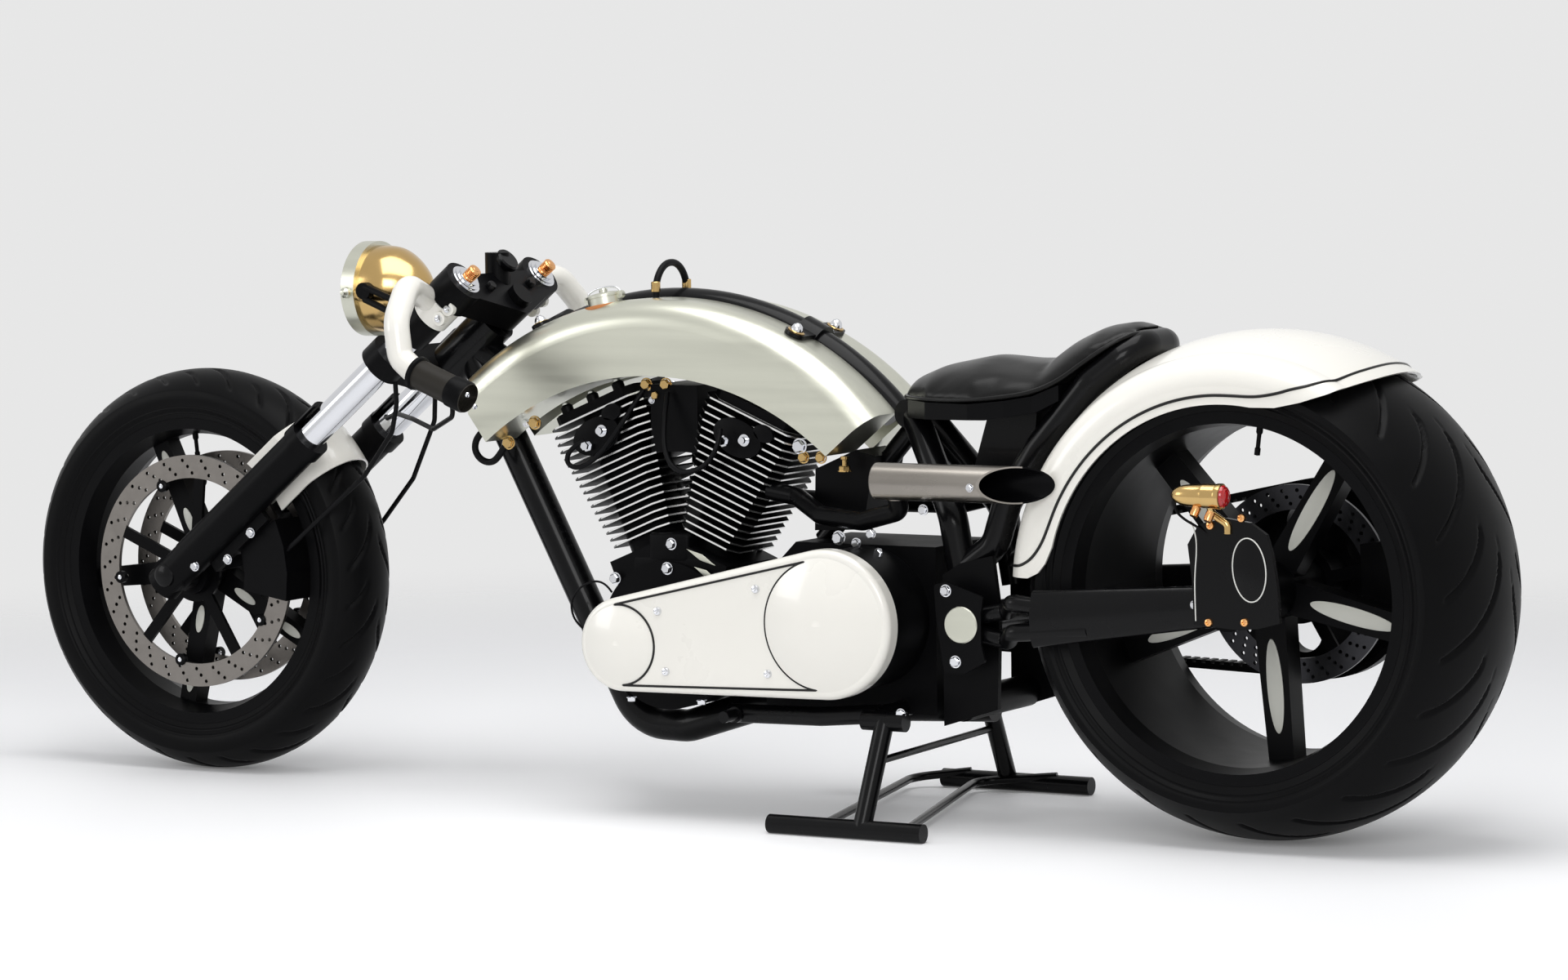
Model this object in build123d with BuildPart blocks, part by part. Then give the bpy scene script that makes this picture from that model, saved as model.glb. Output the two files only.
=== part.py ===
from build123d import *
import os
from math import atan2, cos, degrees, radians, sin, sqrt

# Long, low chopper motorcycle with a raked fork, a V-twin engine and a 300 mm rear tyre.
# Frame: X forward, Y to the rider's left, Z up. Z = 0 is the floor, Y = 0 the middle plane.
# The pieces of the frame keep their places to the rear axle, the fork's keep theirs to the front axle.
# Each piece is moved at the end so that X = 0 is halfway between the tyres' outer ends.

# Driving dimensions
WHEELBASE = 1727.0
REAR_X = -845.85
REAR_TYRE_R = 333.2
REAR_TYRE_HALF = 148.0
REAR_LIP_R = 246.0
REAR_LIP_HALF = 138.0
FRONT_TYRE_R = 297.9
FRONT_TYRE_HALF = 62.0
FRONT_LIP_R = 227.0
FRONT_LIP_HALF = 52.0
RAKE = 50.0
STEM_OFFSET = 38.0
FORK_HALF = 98.8
FENDER_GAP = 12.8
FENDER_SIDE_GAP = 10.0
TANK_TOP_R = 476.0
TANK_HALF = 105.0
FIT = 0.3
RUN_CLEAR = 6.0
OVERRUN = 40.0

FRONT_X = REAR_X + WHEELBASE
REAR_Z = REAR_TYRE_R
FRONT_Z = FRONT_TYRE_R
MIDDLE_X = (FRONT_X + FRONT_TYRE_R + REAR_X - REAR_TYRE_R) / 2

# The fork's own plane stands on the front axle: local x is forward and up, y is left, z runs up the legs
RAKE_SIN = sin(radians(RAKE))
RAKE_COS = cos(radians(RAKE))
fork_plane = Plane(origin=(FRONT_X, 0, FRONT_Z), x_dir=(RAKE_COS, 0, RAKE_SIN), z_dir=(-RAKE_SIN, 0, RAKE_COS))


def fork_point(forward, left, up):
    """A point of the fork's plane in the motorcycle's frame."""
    return fork_plane.from_local_coords(Vector(forward, left, up))


def pipe(points, bends, radius):
    """A round bar along straight runs joined by arcs, added to the part being built."""
    with BuildLine() as route:
        if len(points) == 2:
            Line(*points)
        else:
            FilletPolyline(*points, radius=bends)
    with BuildSketch(Plane(origin=route.line @ 0, z_dir=route.line % 0)) as section:
        Circle(radius)
    sweep(sections=section.sketch, path=route.line)


def side_plane(left):
    """The plane at a distance to the left, in which a sketch reads as x and z."""
    return Plane.XZ.offset(-left)


def bar(center, direction, radius, length, mode=Mode.ADD):
    """A round bar centred on a point, along a direction."""
    with BuildSketch(Plane(origin=center, z_dir=direction)) as section:
        Circle(radius)
    extrude(section.sketch, amount=length / 2, both=True, mode=mode)


os.makedirs("parts", exist_ok=True)
made = {}


def keep(name, part):
    """Move a finished piece to the middle of the bounding box, label it and write it."""
    placed = part.moved(Location((-MIDDLE_X, 0, 0)))
    placed.label = name
    export_step(placed, "parts/" + name + ".step")
    made[name] = part


# Wheels

REAR_AXLE_R = 12.5
FRONT_AXLE_R = 12.5
REAR_BARREL_R = 225.0
FRONT_BARREL_R = 202.0
BARREL_WALL = 6.0
REAR_SHOULDER_SHARE = 0.62
FRONT_SHOULDER_SHARE = 0.42
BULGE_SHARE = 0.3
LIP_WALL = 8.0
RIM_EDGE = 16.0
BEAD_DEPTH = 14.0
SPOKE_COUNT = 5
REAR_SPOKE_ANGLE = 49.0
FRONT_SPOKE_ANGLE = 66.0
REAR_HUB_R = 42.0
REAR_HUB_HALF = 146.0
REAR_HUB_RIGHT = 153.7
FRONT_HUB_R = 34.0
FRONT_HUB_HALF = 64.0
REAR_DISC_Y = -80.0
REAR_DISC_R = 134.0
FRONT_DISC_Y = 46.0
FRONT_DISC_R = 172.0
DISC_BAND = 34.0
DISC_WALL = 6.0
PULLEY_Y = -168.0
PULLEY_WIDTH = 28.0
BELT_NOTCH_IN_Y = -150.0
REAR_PULLEY_R = 128.0
BELT_WALL = 8.0
REAR_SPOKE = (36.0, 40.0)
FRONT_SPOKE = (28.0, 30.0)
SPOKE_ROOT_SHARE = 1.25


def tyre(x, z, crown, half, lip, lip_half, shoulder_share):
    """A tyre as a solid ring: round tread, bulged walls and a bead inside the rim's lips."""
    shoulder_r = crown - shoulder_share * (crown - lip)
    bulge_r = lip + BULGE_SHARE * (crown - lip)
    bead_half = lip_half - LIP_WALL - FIT
    bead_r = lip - BEAD_DEPTH
    with BuildPart() as ring:
        with BuildSketch(Plane(origin=(x, 0, z), x_dir=(1, 0, 0), z_dir=(0, 0, 1))):
            with BuildLine():
                ThreePointArc((shoulder_r, -half), (crown, 0), (shoulder_r, half))
                Line((shoulder_r, half), (bulge_r, half))
                Line((bulge_r, half), (lip + FIT, lip_half))
                Line((lip + FIT, lip_half), (lip + FIT, bead_half))
                Line((lip + FIT, bead_half), (bead_r, bead_half))
                Line((bead_r, bead_half), (bead_r, -bead_half))
                Line((bead_r, -bead_half), (lip + FIT, -bead_half))
                Line((lip + FIT, -bead_half), (lip + FIT, -lip_half))
                Line((lip + FIT, -lip_half), (bulge_r, -half))
                Line((bulge_r, -half), (shoulder_r, -half))
            make_face()
        revolve(axis=Axis((x, 0, z), (0, 1, 0)), revolution_arc=360)
    return ring.part


def rim(x, z, lip, lip_half, barrel, hub_r, hub_half, axle_r, spoke, first_angle):
    """A rim with its barrel, hub and five blade spokes as one casting."""
    seat = lip - BEAD_DEPTH - FIT
    spoke_wide, spoke_deep = spoke
    with BuildPart() as wheel:
        with BuildSketch(Plane(origin=(x, 0, z), x_dir=(1, 0, 0), z_dir=(0, 0, 1))):
            with BuildLine():
                Polyline(
                    (lip, -lip_half), (lip, -lip_half + LIP_WALL), (seat, -lip_half + LIP_WALL),
                    (seat, lip_half - LIP_WALL), (lip, lip_half - LIP_WALL), (lip, lip_half),
                    (lip - RIM_EDGE, lip_half), (barrel, lip_half - 4 * LIP_WALL),
                    (barrel, -lip_half + 4 * LIP_WALL), (lip - RIM_EDGE, -lip_half), close=True,
                )
            make_face()
        revolve(axis=Axis((x, 0, z), (0, 1, 0)), revolution_arc=360)
        bar((x, 0, z), (0, 1, 0), hub_r, 2 * hub_half)
        for spoke in range(SPOKE_COUNT):
            turn = radians(first_angle + spoke * 360 / SPOKE_COUNT)
            away = Vector(cos(turn), 0, sin(turn))
            root = Vector(x, 0, z) + away * (hub_r - BARREL_WALL)
            end = Vector(x, 0, z) + away * (barrel + BARREL_WALL / 2)
            with BuildSketch(Plane(origin=root, x_dir=(0, 1, 0), z_dir=away)):
                Rectangle(spoke_deep, spoke_wide * SPOKE_ROOT_SHARE)
            with BuildSketch(Plane(origin=end, x_dir=(0, 1, 0), z_dir=away)):
                Rectangle(spoke_deep, spoke_wide)
            loft()
        bar((x, 0, z), (0, 1, 0), axle_r + FIT, 2 * hub_half + OVERRUN, mode=Mode.SUBTRACT)
    return wheel.part


def disc(x, y, z, outer, band, carrier_inner, wall):
    """A brake disc: a drilled ring on a five-armed carrier."""
    with BuildPart() as plate:
        with BuildSketch(Plane(origin=(x, y, z), x_dir=(1, 0, 0), z_dir=(0, 1, 0))):
            Circle(outer)
            Circle(outer - band, mode=Mode.SUBTRACT)
            with PolarLocations((outer - band + carrier_inner) / 2, SPOKE_COUNT, start_angle=REAR_SPOKE_ANGLE):
                Rectangle(outer - band - carrier_inner + band / 3, band / 2)
            Circle(carrier_inner + band / 3)
            Circle(carrier_inner, mode=Mode.SUBTRACT)
        extrude(amount=wall / 2, both=True)
    return plate.part


keep("rear_tyre", tyre(REAR_X, REAR_Z, REAR_TYRE_R, REAR_TYRE_HALF, REAR_LIP_R, REAR_LIP_HALF, REAR_SHOULDER_SHARE))
keep("front_tyre", tyre(FRONT_X, FRONT_Z, FRONT_TYRE_R, FRONT_TYRE_HALF, FRONT_LIP_R, FRONT_LIP_HALF,
                        FRONT_SHOULDER_SHARE))
keep("rear_rim", rim(REAR_X, REAR_Z, REAR_LIP_R, REAR_LIP_HALF, REAR_BARREL_R, REAR_HUB_R, REAR_HUB_HALF,
                     REAR_AXLE_R, REAR_SPOKE, REAR_SPOKE_ANGLE))
keep("front_rim", rim(FRONT_X, FRONT_Z, FRONT_LIP_R, FRONT_LIP_HALF, FRONT_BARREL_R, FRONT_HUB_R, FRONT_HUB_HALF,
                      FRONT_AXLE_R, FRONT_SPOKE, FRONT_SPOKE_ANGLE))
keep("rear_disc", disc(REAR_X, REAR_DISC_Y, REAR_Z, REAR_DISC_R, DISC_BAND, REAR_HUB_R + FIT, DISC_WALL))
with BuildPart() as front_discs:
    for side in (1, -1):
        add(disc(FRONT_X, side * FRONT_DISC_Y, FRONT_Z, FRONT_DISC_R, DISC_BAND, FRONT_HUB_R + FIT, DISC_WALL))
keep("front_discs", front_discs.part)

with BuildPart() as rear_pulley:
    with BuildSketch(Plane(origin=(REAR_X, PULLEY_Y, REAR_Z), x_dir=(1, 0, 0), z_dir=(0, 1, 0))):
        Circle(REAR_PULLEY_R)
        with PolarLocations(REAR_PULLEY_R * 0.62, SPOKE_COUNT):
            Circle(REAR_PULLEY_R * 0.2, mode=Mode.SUBTRACT)
        Circle(REAR_AXLE_R + FIT, mode=Mode.SUBTRACT)
    extrude(amount=PULLEY_WIDTH / 2, both=True)
    with BuildSketch(side_plane(PULLEY_Y + PULLEY_WIDTH / 2)):
        with Locations((REAR_X, REAR_Z)):
            Circle(REAR_HUB_R)
            Circle(REAR_AXLE_R + FIT, mode=Mode.SUBTRACT)
    extrude(amount=-(-REAR_HUB_HALF - PULLEY_Y - PULLEY_WIDTH / 2))
keep("rear_pulley", rear_pulley.part)
# Engine

CRANK_X = 48.5
CRANK_Z = 241.0
LEAN = 22.5
CASE_R = 104.0
CASE_HALF = 78.0
CASE_TAIL_X = -112.0
CASE_LOW_Z = 176.0
CASE_HIGH_Z = 330.0
BARREL_R = 46.0
BARREL_START = 128.0
FIN_START = 146.0
FIN_PITCH = 11.0
FIN_COUNT = 18
FULL_FIN = 14
FIN_WALL = 2.4
FIN_HALF_START = 50.0
FIN_HALF_END = 80.0
FIN_LENGTH = 124.0
FIN_CORNER = 14.0
HEAD_TOP = 350.0
HEAD_HALF = 70.0
HEAD_LENGTH_SHARE = 0.9
PUSHROD_R = 8.0
PUSHROD_Y = -66.0
PUSHROD_GAP = 34.0


def cylinder_plane(lean, up):
    """The plane across a cylinder at a height above the crankshaft: local x forward, y left."""
    s, c = sin(radians(lean)), cos(radians(lean))
    return Plane(origin=(CRANK_X + up * s, 0, CRANK_Z + up * c), x_dir=(c, 0, -s), z_dir=(s, 0, c))


def cylinder(lean):
    """A barrel with open fins that widen upward, the head on top and two pushrod tubes at its right."""
    fins_end = FIN_START + FIN_PITCH * (FIN_COUNT - 1)
    with BuildPart() as jug:
        with BuildSketch(cylinder_plane(lean, BARREL_START)):
            Circle(BARREL_R)
        extrude(amount=fins_end - BARREL_START)
        for index in range(FIN_COUNT):
            half = FIN_HALF_START + (FIN_HALF_END - FIN_HALF_START) * min(1, index / FULL_FIN)
            with BuildSketch(cylinder_plane(lean, FIN_START + FIN_PITCH * index)):
                Rectangle(2 * half, FIN_LENGTH)
                chamfer(vertices(), length=FIN_CORNER)
            extrude(amount=FIN_WALL)
        with BuildSketch(cylinder_plane(lean, fins_end)):
            Rectangle(2 * HEAD_HALF, FIN_LENGTH * HEAD_LENGTH_SHARE)
            chamfer(vertices(), length=FIN_CORNER)
        extrude(amount=HEAD_TOP - fins_end)
        with BuildSketch(cylinder_plane(lean, BARREL_START)):
            with Locations((-PUSHROD_GAP / 2, PUSHROD_Y), (PUSHROD_GAP / 2, PUSHROD_Y)):
                Circle(PUSHROD_R)
        extrude(amount=HEAD_TOP - 2 * FIN_PITCH - BARREL_START)
    return jug.part


keep("cylinder_front", cylinder(LEAN))
keep("cylinder_rear", cylinder(-LEAN))

# Primary drive cover with its two domes

CLUTCH_X = -273.0
CLUTCH_Z = 281.5
PRIMARY_FRONT_R = 65.0
PRIMARY_REAR_R = 102.0
PRIMARY_IN_Y = 178.0
PRIMARY_OUT_Y = 204.0
PRIMARY_EDGE = 9.0
PRIMARY_STEP = 5.0
DOME_FRONT_R = 55.0
DOME_REAR_R = 91.0
DOME_SHARE = 0.2


def cap_half_height(radius, rise):
    """Height of a round cap of a rise at half its radius."""
    cap_r = (radius * radius + rise * rise) / (2 * rise)
    return sqrt(cap_r * cap_r - radius * radius / 4) - cap_r + rise


def primary_outline(shrink):
    """The outline of two circles and the belt-like straights between them."""
    with Locations((CRANK_X, CRANK_Z)):
        Circle(PRIMARY_FRONT_R - shrink)
    with Locations((CLUTCH_X, CLUTCH_Z)):
        Circle(PRIMARY_REAR_R - shrink)
    make_hull()


with BuildPart() as primary_cover:
    with BuildSketch(side_plane(PRIMARY_IN_Y)):
        primary_outline(0)
    extrude(amount=-(PRIMARY_OUT_Y - PRIMARY_IN_Y))
    fillet(primary_cover.faces().sort_by(Axis.Y)[-1].edges(), radius=PRIMARY_EDGE)
    for x, z, r in ((CRANK_X, CRANK_Z, DOME_FRONT_R), (CLUTCH_X, CLUTCH_Z, DOME_REAR_R)):
        rise = DOME_SHARE * r
        with BuildSketch(Plane(origin=(x, PRIMARY_OUT_Y, z), x_dir=(1, 0, 0), z_dir=(0, 0, 1))):
            with BuildLine():
                Line((0, rise), (0, 0))
                Line((0, 0), (r, 0))
                ThreePointArc((r, 0), (r / 2, cap_half_height(r, rise)), (0, rise))
            make_face()
        revolve(axis=Axis((x, PRIMARY_OUT_Y, z), (0, 1, 0)), revolution_arc=360)
keep("primary_cover", primary_cover.part)

with BuildPart() as primary_case:
    with BuildSketch(side_plane(CASE_HALF)):
        primary_outline(PRIMARY_STEP)
    extrude(amount=-(PRIMARY_IN_Y - CASE_HALF))
keep("primary_case", primary_case.part)

# Frame

TANK_X = 59.0
TANK_Z = 236.0
SPINE_R = 23.0
SPINE_RISE = 12.0
SPINE_ARC_R = TANK_TOP_R + SPINE_RISE - SPINE_R
SPINE_REAR_ANGLE = 137.0
SPINE_FRONT_ANGLE = 52.0
NECK_R = 32.0
NECK_LOW = 530.0
NECK_HIGH = 630.0
STEM_R = 14.0


def tank_polar(radius, angle):
    """A point on the tank's arch, by radius and angle."""
    return (TANK_X + radius * cos(radians(angle)), TANK_Z + radius * sin(radians(angle)))


neck_mid = fork_point(-STEM_OFFSET, 0, (NECK_LOW + NECK_HIGH) / 2)
fork_up = (-RAKE_SIN, 0, RAKE_COS)

with BuildPart() as spine:
    rear, top, front = (tank_polar(SPINE_ARC_R, angle) for angle in (SPINE_REAR_ANGLE, 90, SPINE_FRONT_ANGLE))
    with BuildLine() as spine_line:
        ThreePointArc((rear[0], 0, rear[1]), (top[0], 0, top[1]), (front[0], 0, front[1]))
    with BuildSketch(Plane(origin=spine_line.line @ 0, z_dir=spine_line.line % 0)):
        Circle(SPINE_R)
    sweep(path=spine_line.line)
    pipe([(front[0], 0, front[1]), neck_mid], 0, SPINE_R)
    bar(neck_mid, fork_up, NECK_R, NECK_HIGH - NECK_LOW)
    bar(neck_mid, fork_up, STEM_R + FIT, NECK_HIGH - NECK_LOW + OVERRUN, mode=Mode.SUBTRACT)
keep("spine_tube", spine.part)

# The tube's corners behind the neck: x, z
DOWN_R = 23.0
NECK_JOIN_DROP = 17.0
DOWN_CORNERS = ((140.0, 106.0), (60.0, 104.0), (-60.0, 142.0), (-428.0, 158.0))
DOWN_BENDS = (70.0, 60.0, 60.0)
with BuildPart() as down_tube:
    start = (neck_mid.X, 0, neck_mid.Z - NECK_JOIN_DROP)
    pipe([start] + [(x, 0, z) for x, z in DOWN_CORNERS], list(DOWN_BENDS), DOWN_R)
    add(spine.part, mode=Mode.SUBTRACT)
    bar(neck_mid, fork_up, NECK_R, NECK_HIGH - NECK_LOW, mode=Mode.SUBTRACT)
keep("down_tube", down_tube.part)

# Crankcase with the cam cover at its right, and the gearbox behind it

MOUNT_HALF = 16.0
CAM_R = 72.0
CAM_DEEP = 22.0
CAM_EDGE = 10.0
with BuildPart() as crankcase:
    with BuildSketch(side_plane(0)):
        with Locations((CRANK_X, CRANK_Z)):
            Circle(CASE_R)
        with BuildLine():
            Polyline((CRANK_X, CASE_LOW_Z), (CRANK_X, CASE_HIGH_Z), (CASE_TAIL_X, CASE_HIGH_Z),
                     (CASE_TAIL_X, CASE_LOW_Z), close=True)
        make_face()
    extrude(amount=CASE_HALF, both=True)
    for lean in (LEAN, -LEAN):
        with BuildSketch(cylinder_plane(lean, CASE_R / 2)):
            Rectangle(2 * FIN_HALF_START, 2 * CASE_HALF - FIN_CORNER)
        extrude(amount=BARREL_START - CASE_R / 2)
    with Locations((CRANK_X + CASE_R - MOUNT_HALF / 2, 0, CRANK_Z - MOUNT_HALF)):
        Box(CASE_R, 2 * MOUNT_HALF, 2 * MOUNT_HALF)
    add(down_tube.part, mode=Mode.SUBTRACT)
    with BuildSketch(side_plane(-CASE_HALF)):
        with Locations((CRANK_X, CRANK_Z)):
            Circle(CAM_R)
    extrude(amount=CAM_DEEP)
    fillet(crankcase.faces().sort_by(Axis.Y)[0].edges(), radius=CAM_EDGE)
keep("crankcase", crankcase.part)

GEARBOX_BACK_X = -380.0
GEARBOX_LOW_Z = 150.0
GEARBOX_HIGH_Z = 380.0
GEARBOX_SLOPE = 50.0
with BuildPart() as gearbox:
    with BuildSketch(side_plane(0)):
        with BuildLine():
            Polyline(
                (CASE_TAIL_X, GEARBOX_LOW_Z), (CASE_TAIL_X, CASE_HIGH_Z), (CASE_TAIL_X - GEARBOX_SLOPE, GEARBOX_HIGH_Z),
                (GEARBOX_BACK_X, GEARBOX_HIGH_Z), (GEARBOX_BACK_X, GEARBOX_LOW_Z), close=True,
            )
        make_face()
    extrude(amount=CASE_HALF, both=True)
    add(down_tube.part, mode=Mode.SUBTRACT)
keep("gearbox", gearbox.part)

# Intake between the cylinders, with the round air cleaner at the right

INTAKE_HALF = 38.0
INTAKE_LOW_Z = 470.0
INTAKE_HIGH_Z = 590.0
INTAKE_LEFT_Y = 48.0
CLEANER_IN_Y = -80.0
CLEANER_OUT_Y = -140.0
CLEANER_R = 62.0
CLEANER_EDGE = 12.0
with BuildPart() as air_cleaner:
    with BuildSketch(side_plane(CLEANER_IN_Y)):
        with Locations((CRANK_X, (INTAKE_LOW_Z + INTAKE_HIGH_Z) / 2)):
            Circle(CLEANER_R)
    extrude(amount=CLEANER_IN_Y - CLEANER_OUT_Y)
    fillet(air_cleaner.faces().sort_by(Axis.Y)[0].edges(), radius=CLEANER_EDGE)
    with BuildSketch(side_plane(INTAKE_LEFT_Y)):
        with Locations((CRANK_X, (INTAKE_LOW_Z + INTAKE_HIGH_Z) / 2)):
            Rectangle(2 * INTAKE_HALF, INTAKE_HIGH_Z - INTAKE_LOW_Z)
    extrude(amount=INTAKE_LEFT_Y - CLEANER_IN_Y)
    add(made["cylinder_front"], mode=Mode.SUBTRACT)
    add(made["cylinder_rear"], mode=Mode.SUBTRACT)
    with BuildSketch(side_plane(0)):
        with Locations((CRANK_X, CRANK_Z)):
            Circle(2 * BARREL_START)
    extrude(amount=CLEANER_R, both=True, mode=Mode.SUBTRACT)
keep("air_cleaner", air_cleaner.part)

# Rear frame: one hoop of tube round the wheel and under the seat, on two legs from the spine's end

FENDER_R = REAR_TYRE_R + FENDER_GAP
FENDER_HALF = REAR_TYRE_HALF + FENDER_SIDE_GAP
FENDER_SHOULDER_DROP = 66.0
FENDER_SKIRT_DEEP = 24.0
FENDER_SKIRT_R = FENDER_R - FENDER_SHOULDER_DROP - FENDER_SKIRT_DEEP
FENDER_WALL = 4.0
RAIL_R = 20.0
RAIL_Y = 74.0
RAIL_ARC_R = FENDER_R + 11.0
LEG_TOP_X = -315.0
LEG_TOP_Y = 14.0
LEG_TOP_Z = 557.0
LEG_BEND = 60.0
# Corners of the hoop's left side, from the leg to the top: angle round the rear axle, radius beyond the rail's own, y
HOOP = ((17.3, 17.0, 74.0), (31.0, 3.0, 74.0), (50.0, 2.0, 74.0), (62.0, 10.0, 52.0))
# Its lower end, which turns forward into the leg: x, z
HOOP_FOOT = ((-418.0, 345.0), (-470.0, 386.0))
HOOP_BEND = 42.0
LEG_CORNERS = ((-405.0, 425.0), (-424.0, 318.0))
BRACE_R = 14.0
BRACE_ENDS = ((-318.0, 0.0, 548.0), (-163.0, 0.0, 376.0))
PIVOT_X = -445.0
PIVOT_Z = 282.0
PIVOT_R = 23.0
PLATE_Y = RAIL_Y + RAIL_R + FIT
PLATE_WALL = 9.0


def wheel_polar(radius, angle):
    """A point round the rear axle, by radius and angle."""
    return (REAR_X + radius * cos(radians(angle)), REAR_Z + radius * sin(radians(angle)))


with BuildPart() as rear_frame:
    left = [(x, RAIL_Y, z) for x, z in HOOP_FOOT]
    for angle, beyond, y in HOOP:
        at = wheel_polar(RAIL_ARC_R + beyond, angle)
        left.append((at[0], y, at[1]))
    right = [(x, -y, z) for x, y, z in reversed(left)]
    pipe(left + right, HOOP_BEND, RAIL_R)
    for side in (1, -1):
        pipe([(LEG_TOP_X, side * LEG_TOP_Y, LEG_TOP_Z)] + [(x, side * RAIL_Y, z) for x, z in LEG_CORNERS],
             LEG_BEND, RAIL_R)
    bar((LEG_TOP_X, 0, LEG_TOP_Z), (0, 1, 0), RAIL_R, 2 * LEG_TOP_Y + 2 * RAIL_R)
    pipe(list(BRACE_ENDS), 0, BRACE_R)
    add(spine.part, mode=Mode.SUBTRACT)
    add(gearbox.part, mode=Mode.SUBTRACT)
    bar((PIVOT_X, 0, PIVOT_Z), (0, 1, 0), PIVOT_R + FIT, 2 * PLATE_Y + OVERRUN, mode=Mode.SUBTRACT)
keep("rear_frame", rear_frame.part)

# Pivot plates with the outer covers held off by bolts

BOSS_R = 27.0
BOSS_WIDE = 30.0
COVER_Y = PLATE_Y + PLATE_WALL + BOSS_WIDE
COVER_WALL = 5.0
COVER_EDGE = 5.0
BADGE_R = 25.0
BADGE_WALL = 2.0
BOLT_R = 6.0
TIE_R = 22.0
TIE_X = -428.0
TIE_Z = 168.0
PLATE_OUTLINE = ((-404.0, 345.0), (-430.0, 362.0), (-480.0, 374.0), (-490.0, 300.0), (-486.0, 166.0), (-404.0, 140.0))
COVER_OUTLINE = ((-409.0, 336.0), (-428.0, 340.0), (-484.0, 322.0), (-480.0, 300.0), (-480.0, 258.0),
                 (-486.0, 234.0), (-454.0, 217.0), (-424.0, 217.0), (-413.0, 282.0))
COVER_BOLTS = ((-425.0, 327.0), (-439.0, 231.0))
with BuildPart() as pivot_plates:
    for side in (1, -1):
        with BuildSketch(side_plane(side * PLATE_Y)):
            with BuildLine():
                Polyline(*PLATE_OUTLINE, close=True)
            make_face()
        extrude(amount=-side * PLATE_WALL)
        with BuildSketch(side_plane(side * COVER_Y)):
            with BuildLine():
                Polyline(*COVER_OUTLINE, close=True)
            make_face()
            fillet(vertices(), radius=COVER_EDGE)
        extrude(amount=-side * COVER_WALL)
        with BuildSketch(side_plane(side * (COVER_Y + COVER_WALL))):
            with Locations((PIVOT_X, PIVOT_Z)):
                Circle(BADGE_R)
        extrude(amount=-side * BADGE_WALL)
        for x, z in COVER_BOLTS:
            bar((x, side * (PLATE_Y + COVER_Y) / 2, z), (0, 1, 0), BOLT_R, COVER_Y - PLATE_Y)
    bar((TIE_X, 0, TIE_Z), (0, 1, 0), TIE_R, 2 * PLATE_Y)
    bar((PIVOT_X, 0, PIVOT_Z), (0, 1, 0), STEM_R, 2 * COVER_Y)
    add(down_tube.part, mode=Mode.SUBTRACT)
keep("pivot_plates", pivot_plates.part)

# Rear axle and swingarm

LEFT_ARM_Y = 174.0
RIGHT_ARM_Y = -203.0
ARM_HALF = 13.0
ARM_FRONT_X = -578.0
ARM_REACH = 30.0
ARM_BACK_X = REAR_X - ARM_REACH
ARM_FRONT_Z = 300.0
ARM_BACK_Z = 331.0
ARM_FRONT_TALL = 76.0
ARM_BACK_TALL = 52.0
AXLE_PLATE_WALL = 8.0
NUT = 12.0
YOKE_R = 12.0
YOKE_BEND = 16.0
YOKE_RISE = 20.0
YOKE_MID_X = -511.0
YOKE_END_X = -660.0
# The yoke's bend beside each arm: arm y, x
YOKE = ((LEFT_ARM_Y, -546.0), (RIGHT_ARM_Y, -562.0))
axle_left = LEFT_ARM_Y
axle_right = RIGHT_ARM_Y - ARM_HALF - AXLE_PLATE_WALL - NUT
with BuildPart() as rear_axle:
    bar((REAR_X, (axle_left + axle_right) / 2, REAR_Z), (0, 1, 0), REAR_AXLE_R, axle_left - axle_right)
keep("rear_axle", rear_axle.part)

boss_y = PLATE_Y + PLATE_WALL + BOSS_WIDE / 2
with BuildPart() as swingarm:
    bar((PIVOT_X, 0, PIVOT_Z), (0, 1, 0), PIVOT_R, 2 * PLATE_Y - 2 * FIT)
    for arm_y, back_x in YOKE:
        side = 1 if arm_y > 0 else -1
        bar((PIVOT_X, side * boss_y, PIVOT_Z), (0, 1, 0), BOSS_R, BOSS_WIDE)
        for rise in (-YOKE_RISE, YOKE_RISE):
            pipe([(PIVOT_X - NUT, side * boss_y, PIVOT_Z + rise / 2), (YOKE_MID_X, side * boss_y, PIVOT_Z + rise),
                  (back_x, arm_y, ARM_FRONT_Z + rise), (YOKE_END_X, arm_y, ARM_FRONT_Z + rise / 2)],
                 YOKE_BEND, YOKE_R)
        with BuildSketch(Plane(origin=(ARM_FRONT_X, arm_y, ARM_FRONT_Z), x_dir=(0, 1, 0), z_dir=(-1, 0, 0))):
            Ellipse(ARM_HALF, ARM_FRONT_TALL / 2)
        with BuildSketch(Plane(origin=(ARM_BACK_X, arm_y, ARM_BACK_Z), x_dir=(0, 1, 0), z_dir=(-1, 0, 0))):
            Ellipse(ARM_HALF, ARM_BACK_TALL / 2)
        loft()
    bar((PIVOT_X, 0, PIVOT_Z), (0, 1, 0), STEM_R, 2 * COVER_Y, mode=Mode.SUBTRACT)
    add(rear_axle.part, mode=Mode.SUBTRACT)
keep("swingarm", swingarm.part)

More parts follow.
